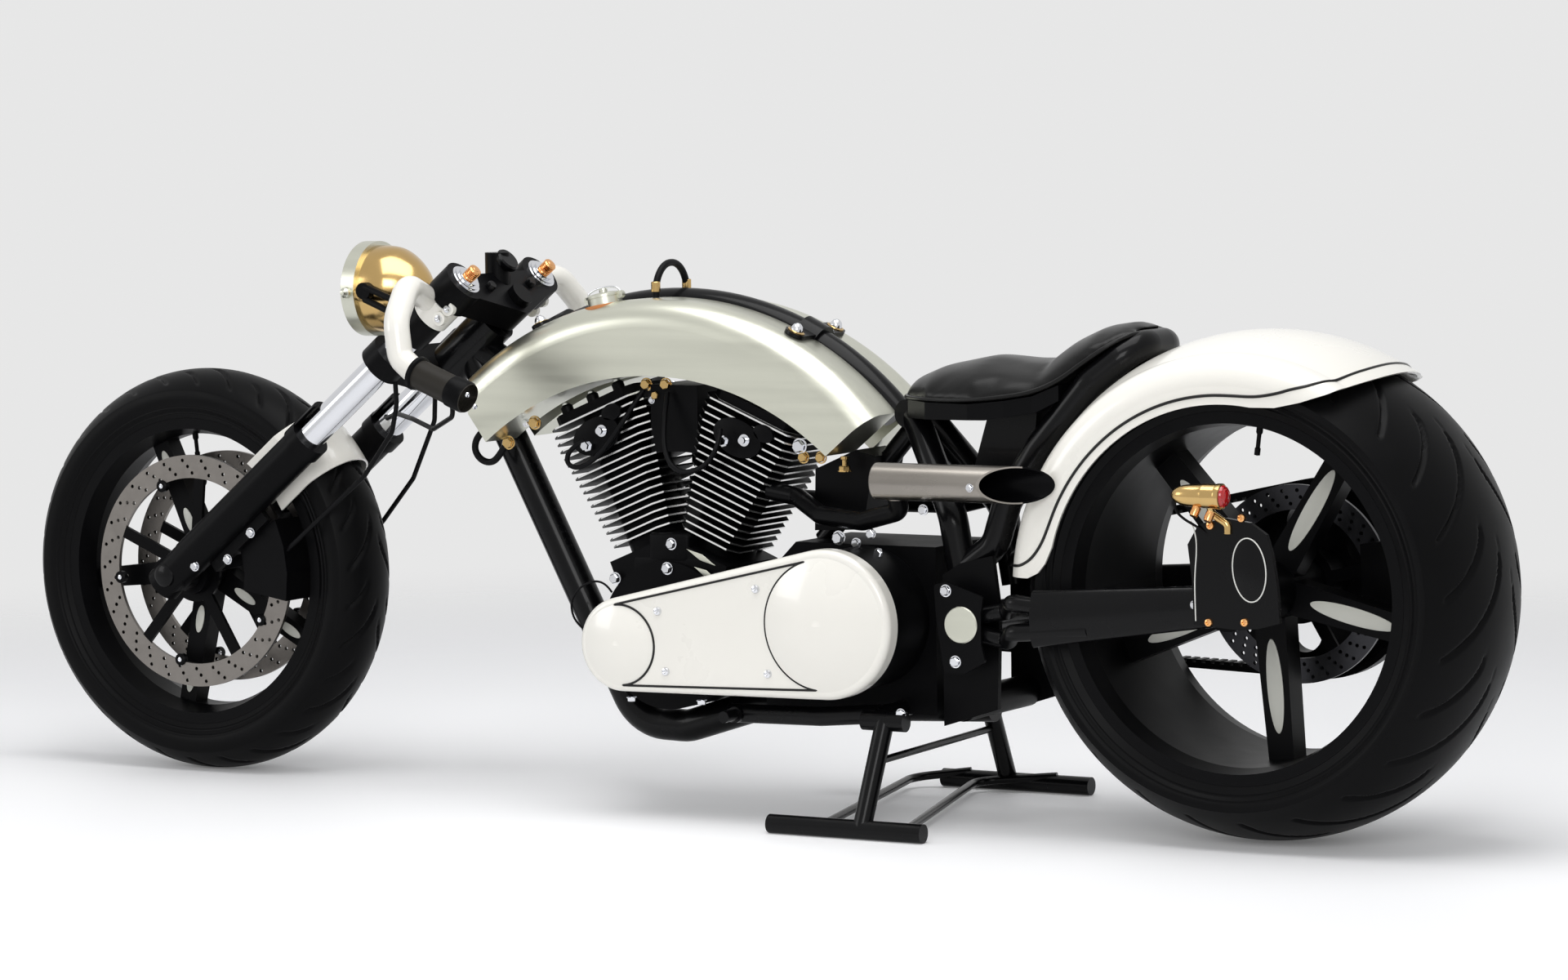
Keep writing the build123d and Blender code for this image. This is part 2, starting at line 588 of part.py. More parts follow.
# Outline from the lower front corner round: distance behind the rear axle, height above it
AXLE_PLATE_OUTLINE = ((-24.0, -28.0), (-26.0, 30.0), (-32.0, 76.0), (-16.0, 103.0), (22.0, 112.0), (57.0, 107.0),
                      (80.0, 92.0), (88.0, 66.0), (95.0, 24.0), (98.0, -22.0), (68.0, -30.0), (40.0, -33.0))
with BuildPart() as axle_plates:
    for inner_y, side in ((LEFT_ARM_Y + ARM_HALF, 1), (RIGHT_ARM_Y - ARM_HALF, -1)):
        with BuildSketch(side_plane(inner_y)):
            with BuildLine():
                Polyline(*[(REAR_X - back, REAR_Z + up) for back, up in AXLE_PLATE_OUTLINE], close=True)
            make_face()
        extrude(amount=-side * AXLE_PLATE_WALL)
    add(rear_axle.part, mode=Mode.SUBTRACT)
keep("axle_plates", axle_plates.part)

# Final drive: front pulley, toothed belt and rear brake

FRONT_PULLEY_R = 58.0
SHAFT_SHARE = 0.33
TOOTH_PITCH = 14.0
TOOTH_TALL = 4.0
TOOTH_WIDE = 8.0
TOOTH_REAR_START = 40.0
TOOTH_FRONT_END = 30.0
with BuildPart() as front_pulley:
    bar((CLUTCH_X, PULLEY_Y, CLUTCH_Z), (0, 1, 0), FRONT_PULLEY_R, PULLEY_WIDTH)
    shaft = -PULLEY_Y - CASE_HALF
    bar((CLUTCH_X, -CASE_HALF - shaft / 2, CLUTCH_Z), (0, 1, 0), FRONT_PULLEY_R * SHAFT_SHARE, shaft)
keep("front_pulley", front_pulley.part)


def belt_outline(extra):
    """The hull of the two pulleys, grown by a distance."""
    with Locations((REAR_X, REAR_Z)):
        Circle(REAR_PULLEY_R + extra)
    with Locations((CLUTCH_X, CLUTCH_Z)):
        Circle(FRONT_PULLEY_R + extra)
    make_hull()


# The straight runs: along the line of the axles, across it, and the run's tilt to it from the radii's difference
span_x, span_z = CLUTCH_X - REAR_X, CLUTCH_Z - REAR_Z
span = sqrt(span_x * span_x + span_z * span_z)
axles_line = Vector(span_x, span_z, 0) / span
across = Vector(-axles_line.Y, axles_line.X, 0)
tilt = (REAR_PULLEY_R - FRONT_PULLEY_R) / span
run_share = sqrt(1 - tilt * tilt)
run_length = span * run_share

with BuildPart() as drive_belt:
    for extra, blend in ((BELT_WALL + FIT, Mode.ADD), (FIT, Mode.SUBTRACT)):
        with BuildSketch(side_plane(PULLEY_Y)):
            belt_outline(extra)
        extrude(amount=PULLEY_WIDTH / 2 - FIT, both=True, mode=blend)
    with BuildSketch(side_plane(PULLEY_Y)):
        for side in (1, -1):
            outward = axles_line * tilt + across * (side * run_share)
            along = axles_line * run_share - across * (side * tilt)
            lean = degrees(atan2(along.Y, along.X))
            count = int((run_length - TOOTH_REAR_START - TOOTH_FRONT_END) / TOOTH_PITCH)
            for tooth in range(count):
                at = Vector(REAR_X, REAR_Z, 0) + outward * (REAR_PULLEY_R + FIT - TOOTH_TALL / 2) + along * (
                    TOOTH_REAR_START + tooth * TOOTH_PITCH)
                with Locations(Location((at.X, at.Y, 0), (0, 0, lean))):
                    Rectangle(TOOTH_WIDE, TOOTH_TALL + FIT)
    extrude(amount=PULLEY_WIDTH / 2 - FIT, both=True)
keep("drive_belt", drive_belt.part)

# Caliper outline and its link's bolt: distance behind the rear axle, height above it
CALIPER_OUTLINE = ((106.0, -33.0), (102.0, 59.0), (160.0, 69.0), (184.0, 17.0), (164.0, -33.0))
CALIPER_HALF = 28.0
LINK_BACK = 160.0
LINK_UP = 17.0
LINK_R = 12.0
LINK_EYE_R = 20.0
LINK_BOLT_R = 8.0
with BuildPart() as rear_caliper:
    with BuildSketch(side_plane(REAR_DISC_Y - CALIPER_HALF)):
        with BuildLine():
            Polyline(*[(REAR_X - back, REAR_Z + up) for back, up in CALIPER_OUTLINE], close=True)
        make_face()
    extrude(amount=-2 * CALIPER_HALF)
    with BuildSketch(side_plane(REAR_DISC_Y - DISC_WALL / 2 - RUN_CLEAR)):
        with Locations((REAR_X, REAR_Z)):
            Circle(REAR_DISC_R + RUN_CLEAR)
    extrude(amount=-(DISC_WALL + 2 * RUN_CLEAR), mode=Mode.SUBTRACT)
    link_y = RIGHT_ARM_Y - ARM_HALF - AXLE_PLATE_WALL
    bar((REAR_X - LINK_BACK, (link_y + REAR_DISC_Y) / 2, REAR_Z + LINK_UP), (0, 1, 0), LINK_BOLT_R, REAR_DISC_Y - link_y)
    with BuildSketch(side_plane(link_y)):
        with Locations((REAR_X - LINK_BACK, REAR_Z + LINK_UP)):
            Circle(LINK_R)
        with Locations((REAR_X, REAR_Z)):
            Circle(LINK_EYE_R)
        make_hull()
        with Locations((REAR_X, REAR_Z)):
            Circle(REAR_AXLE_R, mode=Mode.SUBTRACT)
    extrude(amount=AXLE_PLATE_WALL)
keep("rear_caliper", rear_caliper.part)

# Tank in two halves over the spine, with its cap, two clamps and the breather hose

TANK_IN_Y = SPINE_R + FIT
TANK_EDGE = 38.0
# Radius as a share of the top's, angle
TANK_FRONT_TOP = (1.0, 49.4)
TANK_FRONT_MID = (0.9, 46.3)
TANK_FRONT_LOW = (0.8, 45.4)
TANK_UNDER_MID = (0.777, 90.3)
TANK_REAR_LOW = (0.818, 137.0)
TANK_REAR_TOP = (1.0, 137.6)
with BuildPart() as tank_left:
    corners = [tank_polar(TANK_TOP_R * share, angle) for share, angle in (
        TANK_FRONT_TOP, TANK_FRONT_MID, TANK_FRONT_LOW, TANK_UNDER_MID, TANK_REAR_LOW, TANK_REAR_TOP)]
    with BuildSketch(side_plane(TANK_IN_Y)):
        with BuildLine():
            Polyline(*corners[:3])
            ThreePointArc(*corners[2:5])
            Line(corners[4], corners[5])
            ThreePointArc(corners[5], tank_polar(TANK_TOP_R, 90), corners[0])
        make_face()
    extrude(amount=-(TANK_HALF - TANK_IN_Y))
    top_edge = tank_left.faces().sort_by(Axis.Y)[-1].edges().sort_by(Axis.Z)[-1]
    fillet(top_edge, radius=TANK_EDGE)
    add(down_tube.part, mode=Mode.SUBTRACT)
    add(spine.part, mode=Mode.SUBTRACT)
    add(rear_frame.part, mode=Mode.SUBTRACT)
keep("tank_left", tank_left.part)
with BuildPart() as tank_right:
    mirror(tank_left.part, about=Plane.XZ)
keep("tank_right", tank_right.part)

CAP_R = 25.0
CAP_Y = 56.0
CAP_TALL = 20.0
CAP_ANGLE = 78.6
with BuildPart() as filler_cap:
    cap_axis = (cos(radians(CAP_ANGLE)), 0, sin(radians(CAP_ANGLE)))
    cap_foot = tank_polar(TANK_TOP_R, CAP_ANGLE)
    bar((cap_foot[0], CAP_Y, cap_foot[1]), cap_axis, CAP_R, 2 * CAP_TALL)
    add(tank_left.part, mode=Mode.SUBTRACT)
keep("filler_cap", filler_cap.part)

CLAMP_ANGLES = (65.2, 116.2)
CLAMP_HALF = 17.0
CLAMP_WALL = 6.0
CLAMP_EAR_Y = 55.0
CLAMP_EAR_R = 15.0
with BuildPart() as tank_clamps:
    for angle in CLAMP_ANGLES:
        out = (cos(radians(angle)), 0, sin(radians(angle)))
        round_way = (-sin(radians(angle)), 0, cos(radians(angle)))
        low = tank_polar(TANK_TOP_R - CLAMP_WALL, angle)
        with BuildSketch(Plane(origin=(low[0], 0, low[1]), x_dir=round_way, z_dir=out)):
            with Locations((0, CLAMP_EAR_Y), (0, -CLAMP_EAR_Y)):
                Circle(CLAMP_EAR_R)
            make_hull()
        extrude(amount=2 * CLAMP_WALL)
        core = tank_polar(SPINE_ARC_R, angle)
        bar((core[0], 0, core[1]), round_way, SPINE_R + CLAMP_WALL, 2 * CLAMP_HALF)
    add(tank_left.part, mode=Mode.SUBTRACT)
    add(tank_right.part, mode=Mode.SUBTRACT)
    add(spine.part, mode=Mode.SUBTRACT)
    with BuildSketch(side_plane(0)):
        with Locations((TANK_X, TANK_Z)):
            Circle(SPINE_ARC_R)
    extrude(amount=SPINE_R + CLAMP_WALL, both=True, mode=Mode.SUBTRACT)
keep("tank_clamps", tank_clamps.part)

HOSE_R = 5.0
HOSE_X = 79.0
HOSE_Y = 42.0
HOSE_TOP_Z = 759.0
HOSE_BEND = 41.0
with BuildPart() as breather_hose:
    foot_z = TANK_Z + TANK_TOP_R - 2 * HOSE_R
    pipe([(HOSE_X, HOSE_Y, foot_z), (HOSE_X, HOSE_Y, HOSE_TOP_Z), (HOSE_X, -HOSE_Y, HOSE_TOP_Z),
          (HOSE_X, -HOSE_Y, foot_z)], HOSE_BEND, HOSE_R)
    add(tank_left.part, mode=Mode.SUBTRACT)
    add(tank_right.part, mode=Mode.SUBTRACT)
keep("breather_hose", breather_hose.part)

# Rear fender: a revolved section with skirts, trimmed at both ends

# Outer side of the section: drop below the crown, distance from the middle plane
FENDER_TURN = (24.0, 122.0)
FENDER_CORNER = (37.0, 149.0)
FENDER_TURN_IN = (28.0, 120.0)
FENDER_CORNER_IN = (40.0, 146.0)
FENDER_SWEEP = 124.0
# Cut at the back: radius, angle round the axle; cut at the front: x, z
FENDER_TAIL = ((250.0, 90.0), (256.0, 99.0), (264.0, 106.5), (283.0, 113.0), (307.0, 118.0), (338.0, 121.8),
               (352.0, 123.0), (430.0, 127.0), (430.0, 150.0), (200.0, 150.0))
FENDER_NOSE = ((-480.0, 280.0), (-480.0, 352.0), (-561.0, 352.0), (-576.0, 359.0), (-587.0, 372.0),
               (-600.0, 400.0), (-640.0, 400.0), (-640.0, 280.0))
with BuildPart() as rear_fender:
    shoulder = FENDER_R - FENDER_SHOULDER_DROP
    inner_half = FENDER_HALF - FENDER_WALL
    with BuildSketch(Plane(origin=(REAR_X, 0, REAR_Z), x_dir=(1, 0, 0), z_dir=(0, 0, 1))):
        with BuildLine():
            for side in (1, -1):
                turn = (FENDER_R - FENDER_TURN[0], side * FENDER_TURN[1])
                corner = (FENDER_R - FENDER_CORNER[0], side * FENDER_CORNER[1])
                turn_in = (FENDER_R - FENDER_TURN_IN[0], side * FENDER_TURN_IN[1])
                corner_in = (FENDER_R - FENDER_CORNER_IN[0], side * FENDER_CORNER_IN[1])
                ThreePointArc(turn, corner, (shoulder, side * FENDER_HALF))
                Polyline((shoulder, side * FENDER_HALF), (FENDER_SKIRT_R, side * FENDER_HALF),
                         (FENDER_SKIRT_R, side * inner_half), (shoulder, side * inner_half))
                ThreePointArc((shoulder, side * inner_half), corner_in, turn_in)
            ThreePointArc((FENDER_R - FENDER_TURN[0], -FENDER_TURN[1]), (FENDER_R, 0),
                          (FENDER_R - FENDER_TURN[0], FENDER_TURN[1]))
            ThreePointArc((FENDER_R - FENDER_TURN_IN[0], -FENDER_TURN_IN[1]), (FENDER_R - FENDER_WALL, 0),
                          (FENDER_R - FENDER_TURN_IN[0], FENDER_TURN_IN[1]))
        make_face()
    revolve(axis=Axis((REAR_X, 0, REAR_Z), (0, -1, 0)), revolution_arc=FENDER_SWEEP)
    for outline in ([wheel_polar(radius, angle) for radius, angle in FENDER_TAIL], FENDER_NOSE):
        with BuildSketch(side_plane(0)):
            with BuildLine():
                Polyline(*outline, close=True)
            make_face()
        extrude(amount=2 * FENDER_HALF, both=True, mode=Mode.SUBTRACT)
    with BuildSketch(side_plane(BELT_NOTCH_IN_Y)):
        belt_outline(BELT_WALL + 2 * RUN_CLEAR)
    extrude(amount=FENDER_HALF, mode=Mode.SUBTRACT)
    add(rear_frame.part, mode=Mode.SUBTRACT)
keep("rear_fender", rear_fender.part)

# Seat: sections along its length, over a pan

# x, half width, height of the lower edge, height of the top
SEAT_SECTIONS = ((-300.0, 14.0, 579.0, 588.0), (-327.0, 58.0, 578.0, 608.0), (-369.0, 88.0, 577.0, 623.0),
                 (-443.0, 106.0, 577.0, 634.0), (-500.0, 109.0, 583.0, 629.0), (-542.0, 107.0, 590.0, 630.0),
                 (-577.0, 98.0, 605.0, 659.0), (-614.0, 88.0, 634.0, 679.0), (-650.0, 74.0, 659.0, 686.0),
                 (-676.0, 52.0, 671.0, 681.0))
SEAT_SIDE_SHARE = 0.45
SEAT_TUMBLE = 5.0
with BuildPart() as seat:
    for x, half, low, high in SEAT_SECTIONS:
        side_z = low + SEAT_SIDE_SHARE * (high - low)
        with BuildSketch(Plane(origin=(x, 0, 0), x_dir=(0, 1, 0), z_dir=(1, 0, 0))):
            with BuildLine():
                Polyline((-half + SEAT_TUMBLE, side_z), (-half, low), (half, low), (half - SEAT_TUMBLE, side_z))
                ThreePointArc((half - SEAT_TUMBLE, side_z), (0, high), (-half + SEAT_TUMBLE, side_z))
            make_face()
    loft(ruled=True)
    add(rear_frame.part, mode=Mode.SUBTRACT)
    add(spine.part, mode=Mode.SUBTRACT)
keep("seat", seat.part)

PAN_EDGE = 4.0
# Underside of the pan, from the back: x, z
PAN_UNDER = ((-577.0, 584.0), (-546.0, 568.0), (-470.0, 556.0), (-330.0, 553.0), (-300.0, 560.0))
with BuildPart() as seat_pan:
    with BuildSketch(side_plane(0)):
        with BuildLine():
            Polyline(*[(x, low) for x, half, low, high in SEAT_SECTIONS[:7]], *PAN_UNDER, close=True)
        make_face()
    extrude(amount=2 * TANK_HALF, both=True)
    with BuildSketch(Plane.XY):
        with BuildLine():
            Polyline(*[(x, half - PAN_EDGE) for x, half, low, high in SEAT_SECTIONS[:7]],
                     *[(x, PAN_EDGE - half) for x, half, low, high in reversed(SEAT_SECTIONS[:7])], close=True)
        make_face()
    extrude(amount=3 * FENDER_R, mode=Mode.INTERSECT)
    add(rear_frame.part, mode=Mode.SUBTRACT)
    add(spine.part, mode=Mode.SUBTRACT)
    add(tank_left.part, mode=Mode.SUBTRACT)
    add(tank_right.part, mode=Mode.SUBTRACT)
keep("seat_pan", seat_pan.part)

OIL_HALF = 46.0
OIL_OUTLINE = ((-446.0, 560.0), (-520.0, 566.0), (-508.0, 442.0), (-410.0, 442.0))
with BuildPart() as oil_tank:
    with BuildSketch(side_plane(0)):
        with BuildLine():
            Polyline(*OIL_OUTLINE, close=True)
        make_face()
    extrude(amount=OIL_HALF, both=True)
    add(seat_pan.part, mode=Mode.SUBTRACT)
    add(rear_frame.part, mode=Mode.SUBTRACT)
keep("oil_tank", oil_tank.part)

IGNITION_HALF = 42.0
IGNITION_OUTLINE = ((-174.0, 478.0), (-238.0, 506.0), (-268.0, 498.0), (-253.0, 424.0), (-237.0, 396.0),
                    (-172.0, 393.0))
with BuildPart() as ignition_box:
    with BuildSketch(side_plane(0)):
        with BuildLine():
            Polyline(*IGNITION_OUTLINE, close=True)
        make_face()
    extrude(amount=IGNITION_HALF, both=True)
    add(rear_frame.part, mode=Mode.SUBTRACT)
keep("ignition_box", ignition_box.part)

# Exhausts: a short slash-cut pipe at each side, fed by a thinner header

PIPE_R = 25.0
PIPE_WALL = 2.0
PIPE_Y = 188.0
PIPE_Z = 478.0
PIPE_FRONT_X = -352.0
PIPE_BACK_X = -606.0
SLASH = 92.0
HEADER_R = 13.0
HEADER_BEND = 22.0
# From the pipe to the engine: x, y, z
HEADER_LEFT = ((-376.0, 186.0, 470.0), (-372.0, 160.0, 436.0), (-302.0, 140.0, 418.0), (-215.0, 100.0, 420.0),
               (-150.0, 52.0, 440.0), (-104.0, 44.0, 446.0))
HEADER_RIGHT = ((-376.0, 186.0, 470.0), (-372.0, 160.0, 436.0), (-302.0, 140.0, 418.0), (-150.0, 112.0, 420.0),
                (110.0, 104.0, 424.0), (150.0, 50.0, 440.0))


def exhaust(side, header):
    """A short slash-cut pipe on one side with its header."""
    mid_x = (PIPE_FRONT_X + PIPE_BACK_X) / 2
    with BuildPart() as stub:
        bar((mid_x, side * PIPE_Y, PIPE_Z), (1, 0, 0), PIPE_R, PIPE_FRONT_X - PIPE_BACK_X)
        pipe([(x, side * y, z) for x, y, z in header], HEADER_BEND, HEADER_R)
        bar((mid_x - 2 * PIPE_WALL, side * PIPE_Y, PIPE_Z), (1, 0, 0), PIPE_R - PIPE_WALL,
            PIPE_FRONT_X - PIPE_BACK_X, mode=Mode.SUBTRACT)
        inner, outer, beyond = side * (PIPE_Y - PIPE_R), side * (PIPE_Y + PIPE_R), side * (PIPE_Y + 3 * PIPE_R)
        with BuildSketch(Plane.XY):
            with BuildLine():
                Polyline((PIPE_BACK_X, inner), (PIPE_BACK_X + SLASH, outer), (PIPE_BACK_X + SLASH, beyond),
                         (PIPE_BACK_X - SLASH, beyond), (PIPE_BACK_X - SLASH, inner), close=True)
            make_face()
        extrude(amount=3 * FENDER_R, mode=Mode.SUBTRACT)
        add(made["cylinder_rear"], mode=Mode.SUBTRACT)
        add(made["cylinder_front"], mode=Mode.SUBTRACT)
        add(ignition_box.part, mode=Mode.SUBTRACT)
        add(air_cleaner.part, mode=Mode.SUBTRACT)
    return stub.part


keep("exhaust_left", exhaust(1, HEADER_LEFT))
keep("exhaust_right", exhaust(-1, HEADER_RIGHT))

# Tail light, foot controls and stand

LIGHT_X = -800.0
LIGHT_Y = 215.0
LIGHT_Z = 475.0
LIGHT_R = 16.0
LIGHT_LENGTH = 74.0
STALK_R = 5.0
STALK_BEND = 8.0
# Nose to rim: distance back, radius share
LIGHT_CURVE = ((0.0, 0.0), (6.0, 0.5), (24.0, 0.88), (48.0, 1.0))
# From the bullet to the axle plate: x, distance right of the bullet's axis, z
STALK = ((-850.0, 8.0, 467.0), (-850.0, 18.0, 451.0), (-872.0, 19.0, 437.0), (-872.0, 19.0, 425.0))
with BuildPart() as tail_light:
    with BuildSketch(Plane(origin=(LIGHT_X, LIGHT_Y, LIGHT_Z), x_dir=(-1, 0, 0), z_dir=(0, 0, 1))):
        with BuildLine():
            Spline(*[(back, LIGHT_R * share) for back, share in LIGHT_CURVE])
            Polyline((LIGHT_CURVE[-1][0], LIGHT_R), (LIGHT_LENGTH, LIGHT_R), (LIGHT_LENGTH, 0), (0, 0))
        make_face()
    revolve(axis=Axis((LIGHT_X, LIGHT_Y, LIGHT_Z), (-1, 0, 0)), revolution_arc=360)
    pipe([(x, LIGHT_Y - inward, z) for x, inward, z in STALK], STALK_BEND, STALK_R)
    add(axle_plates.part, mode=Mode.SUBTRACT)
keep("tail_light", tail_light.part)

FOOT_Y = 150.0
FOOT_R = 13.0
FOOT_BEND = 60.0
# Side tubes below the engine: x, z
FOOT_ROUTE = ((-98.0, 148.0), (-240.0, 150.0), (-330.0, 158.0))
FOOT_TIE_X = -326.0
FOOT_TIE_Z = 157.0
FOOT_TIE_R = 11.0
PEG_R = 8.0
PEG_LENGTH = 30.0
COLLAR_R = 11.0
COLLAR_OUT_Y = 168.0
# The brake side's peg sits a little further back: side, x
PEGS = ((1, -113.0), (-1, -119.0))
with BuildPart() as foot_controls:
    for side, peg_x in PEGS:
        pipe([(x, side * FOOT_Y, z) for x, z in FOOT_ROUTE], FOOT_BEND, FOOT_R)
        bar((peg_x, side * (FOOT_Y + COLLAR_OUT_Y) / 2, FOOT_ROUTE[0][1]), (0, 1, 0), COLLAR_R, COLLAR_OUT_Y - FOOT_Y)
        bar((peg_x, side * (COLLAR_OUT_Y + PEG_LENGTH / 2), FOOT_ROUTE[0][1]), (0, 1, 0), PEG_R, PEG_LENGTH)
    bar((FOOT_TIE_X, 0, FOOT_TIE_Z), (0, 1, 0), FOOT_TIE_R, 2 * FOOT_Y + FOOT_R)
    add(down_tube.part, mode=Mode.SUBTRACT)
    add(gearbox.part, mode=Mode.SUBTRACT)
keep("foot_controls", foot_controls.part)

STAND_R = 13.0
STAND_FRONT_X = -206.0
STAND_BACK_X = -442.0
STAND_TOP_Z = 152.0
STAND_TIE_R = 5.0
STAND_CROSS_R = 6.0
STAND_BEND = 30.0
# Side, foot y, leg foot x, leg top x, leg top y
STAND_LEGS = ((1, 236.0, -348.0, -352.0, 175.0), (-1, -262.9, -311.0, -322.0, -175.0))
STAND_TIE = ((-351.0, 196.0, 100.0), (-315.0, -212.0, 96.0))
# Tubes along the floor: x at the right foot, at the bend and at the left foot
STAND_CROSS = ((-251.0, -170.0, -285.0), (-388.0, -272.0, -412.0))
CROSS_BEND_Y = -236.0
CROSS_RIGHT_Z = 24.0
CROSS_LOW_Z = 14.0
with BuildPart() as stand:
    for side, foot_y, foot_x, top_x, top_y in STAND_LEGS:
        bar(((STAND_FRONT_X + STAND_BACK_X) / 2, foot_y, STAND_R), (1, 0, 0), STAND_R, STAND_FRONT_X - STAND_BACK_X)
        pipe([(foot_x, foot_y, STAND_R), (top_x, top_y, STAND_TOP_Z)], 0, STAND_R)
        bar((top_x, top_y, STAND_TOP_Z), (1, 0, 0), STAND_R, 5 * STAND_R)
    pipe(list(STAND_TIE), 0, STAND_TIE_R)
    for right_x, bend_x, left_x in STAND_CROSS:
        pipe([(right_x, STAND_LEGS[1][1], CROSS_RIGHT_Z), (bend_x, CROSS_BEND_Y, CROSS_LOW_Z),
              (left_x, STAND_LEGS[0][1], CROSS_LOW_Z)], STAND_BEND, STAND_CROSS_R)
    add(foot_controls.part, mode=Mode.SUBTRACT)
    add(down_tube.part, mode=Mode.SUBTRACT)
keep("stand", stand.part)

# Fork and steering

FORK_R = 21.5
SLIDER_R = 28.0
SLIDER_TOP = 325.0
SLIDER_STEP = 40.0
SLIDER_FOOT = -26.0
SLIDER_BORE = 200.0
AXLE_BOSS_R = 27.0
AXLE_BOSS_WIDE = 43.0
LIP_TALL = 22.0
GUARD_TALL = 66.0
BRACKET_LOW = 62.0
BRACKET_HIGH = 184.0
BRACKET_DEEP = 44.0
BRACKET_WALL = 6.0
TOP_CLAMP = (640.0, 680.0)
LOW_CLAMP = (487.0, 517.0)
BAR_CLAMP = (602.0, 637.0)
CLAMP_R = 33.0
BRIDGE_R = 20.0
BRIDGE_BACK = 10.0
BRIDGE_STEM_R = 27.0
STEM_NUT_R = 18.0
STEM_NUT_TALL = 12.0
CUP_X = 369.0
CUP_Z = 746.0
CUP_R = 18.0
CUP_TALL = 50.0
BAR_COLLAR_R = 29.0


def fork_level(up):
    """The plane across the fork at a height along the legs."""
    return Plane(origin=fork_point(0, 0, up), x_dir=fork_plane.x_dir, z_dir=fork_plane.z_dir)


with BuildPart() as fork_tubes:
    with BuildSketch(fork_level(SLIDER_BORE)):
        with Locations((0, FORK_HALF), (0, -FORK_HALF)):
            Circle(FORK_R)
    extrude(amount=TOP_CLAMP[1] - SLIDER_BORE)
keep("fork_tubes", fork_tubes.part)

with BuildPart() as front_axle:
    bar((FRONT_X, 0, FRONT_Z), (0, 1, 0), FRONT_AXLE_R, 2 * FORK_HALF + AXLE_BOSS_WIDE - 2 * BRACKET_WALL)
keep("front_axle", front_axle.part)

with BuildPart() as fork_legs:
    # Straight steps of each leg: radius, from, to along the leg
    for radius, low, high in ((SLIDER_R - 3 * FIT, SLIDER_FOOT, SLIDER_STEP), (SLIDER_R, SLIDER_STEP, SLIDER_TOP),
                              (SLIDER_R + BRACKET_WALL / 2, SLIDER_TOP - LIP_TALL, SLIDER_TOP)):
        with BuildSketch(fork_level(low)):
            with Locations((0, FORK_HALF), (0, -FORK_HALF)):
                Circle(radius)
        extrude(amount=high - low)
    for side in (1, -1):
        bar((FRONT_X, side * (FORK_HALF - BRACKET_WALL), FRONT_Z), (0, 1, 0), AXLE_BOSS_R, AXLE_BOSS_WIDE)
        with BuildSketch(fork_level(SLIDER_TOP - LIP_TALL)):
            with Locations((0, side * FORK_HALF)):
                Circle(SLIDER_R + BRACKET_WALL / 3)
                Circle(FORK_R + BRACKET_WALL / 2, mode=Mode.SUBTRACT)
                with Locations((-SLIDER_R, 0)):
                    Rectangle(4 * SLIDER_R - 2 * BRACKET_WALL, 4 * SLIDER_R, mode=Mode.SUBTRACT)
        extrude(amount=GUARD_TALL)
        with BuildSketch(Plane(origin=fork_point(0, side * (FORK_HALF - BRACKET_WALL), 0), x_dir=fork_plane.x_dir,
                               z_dir=(0, -1, 0))):
            with Locations((-BRACKET_DEEP + SLIDER_R / 2, (BRACKET_LOW + BRACKET_HIGH) / 2)):
                Rectangle(SLIDER_R, BRACKET_HIGH - BRACKET_LOW)
        extrude(amount=BRACKET_WALL, both=True)
    add(fork_tubes.part, mode=Mode.SUBTRACT)
    add(front_axle.part, mode=Mode.SUBTRACT)
keep("fork_legs", fork_legs.part)

with BuildPart() as triple_clamps:
    for low, high in (TOP_CLAMP, LOW_CLAMP):
        with BuildSketch(fork_level(low)):
            with Locations((-BRIDGE_BACK, FORK_HALF), (-BRIDGE_BACK, -FORK_HALF)):
                Circle(BRIDGE_R)
            with Locations((-STEM_OFFSET, 0)):
                Circle(BRIDGE_STEM_R)
            make_hull()
            with Locations((0, FORK_HALF), (0, -FORK_HALF)):
                Circle(CLAMP_R)
        extrude(amount=high - low)
    # The stem and its nut: radius, from, to along the stem
    for radius, low, high in ((STEM_R, LOW_CLAMP[0], TOP_CLAMP[1]),
                              (STEM_NUT_R, TOP_CLAMP[1], TOP_CLAMP[1] + STEM_NUT_TALL)):
        with BuildSketch(fork_level(low)):
            with Locations((-STEM_OFFSET, 0)):
                Circle(radius)
        extrude(amount=high - low)
    bar((CUP_X, 0, CUP_Z), (0, 0, 1), CUP_R, CUP_TALL)
    add(fork_tubes.part, mode=Mode.SUBTRACT)
keep("triple_clamps", triple_clamps.part)

# Each cap's steps upward: radius, height
CAP_STEPS = ((24.0, 6.0), (15.0, 4.0), (9.0, 16.0))
with BuildPart() as fork_caps:
    low = TOP_CLAMP[1]
    for radius, tall in CAP_STEPS:
        with BuildSketch(fork_level(low)):
            with Locations((0, FORK_HALF), (0, -FORK_HALF)):
                Circle(radius)
        extrude(amount=tall)
        low += tall
keep("fork_caps", fork_caps.part)

BAR_R = 18.0
GRIP_R = 21.0
# Corners of the left bar from the fork tube to the grip: x, y, z
BAR_ROUTE = ((414.0, 108.0, 706.0), (394.0, 195.0, 732.0), (382.0, 243.0, 685.0), (373.0, 247.0, 634.0),
             (346.6, 248.6, 614.0))
BAR_BENDS = (38.0, 40.0, 24.0)
GRIP_END = (256.0, 255.0, 580.0)
with BuildPart() as handlebars:
    with BuildSketch(fork_level(BAR_CLAMP[0])):
        with Locations((0, FORK_HALF)):
            Circle(BAR_COLLAR_R)
    extrude(amount=BAR_CLAMP[1] - BAR_CLAMP[0])
    pipe(list(BAR_ROUTE), list(BAR_BENDS), BAR_R)
    add(fork_tubes.part, mode=Mode.SUBTRACT)
    add(triple_clamps.part, mode=Mode.SUBTRACT)
    mirror(about=Plane.XZ)
keep("handlebars", handlebars.part)

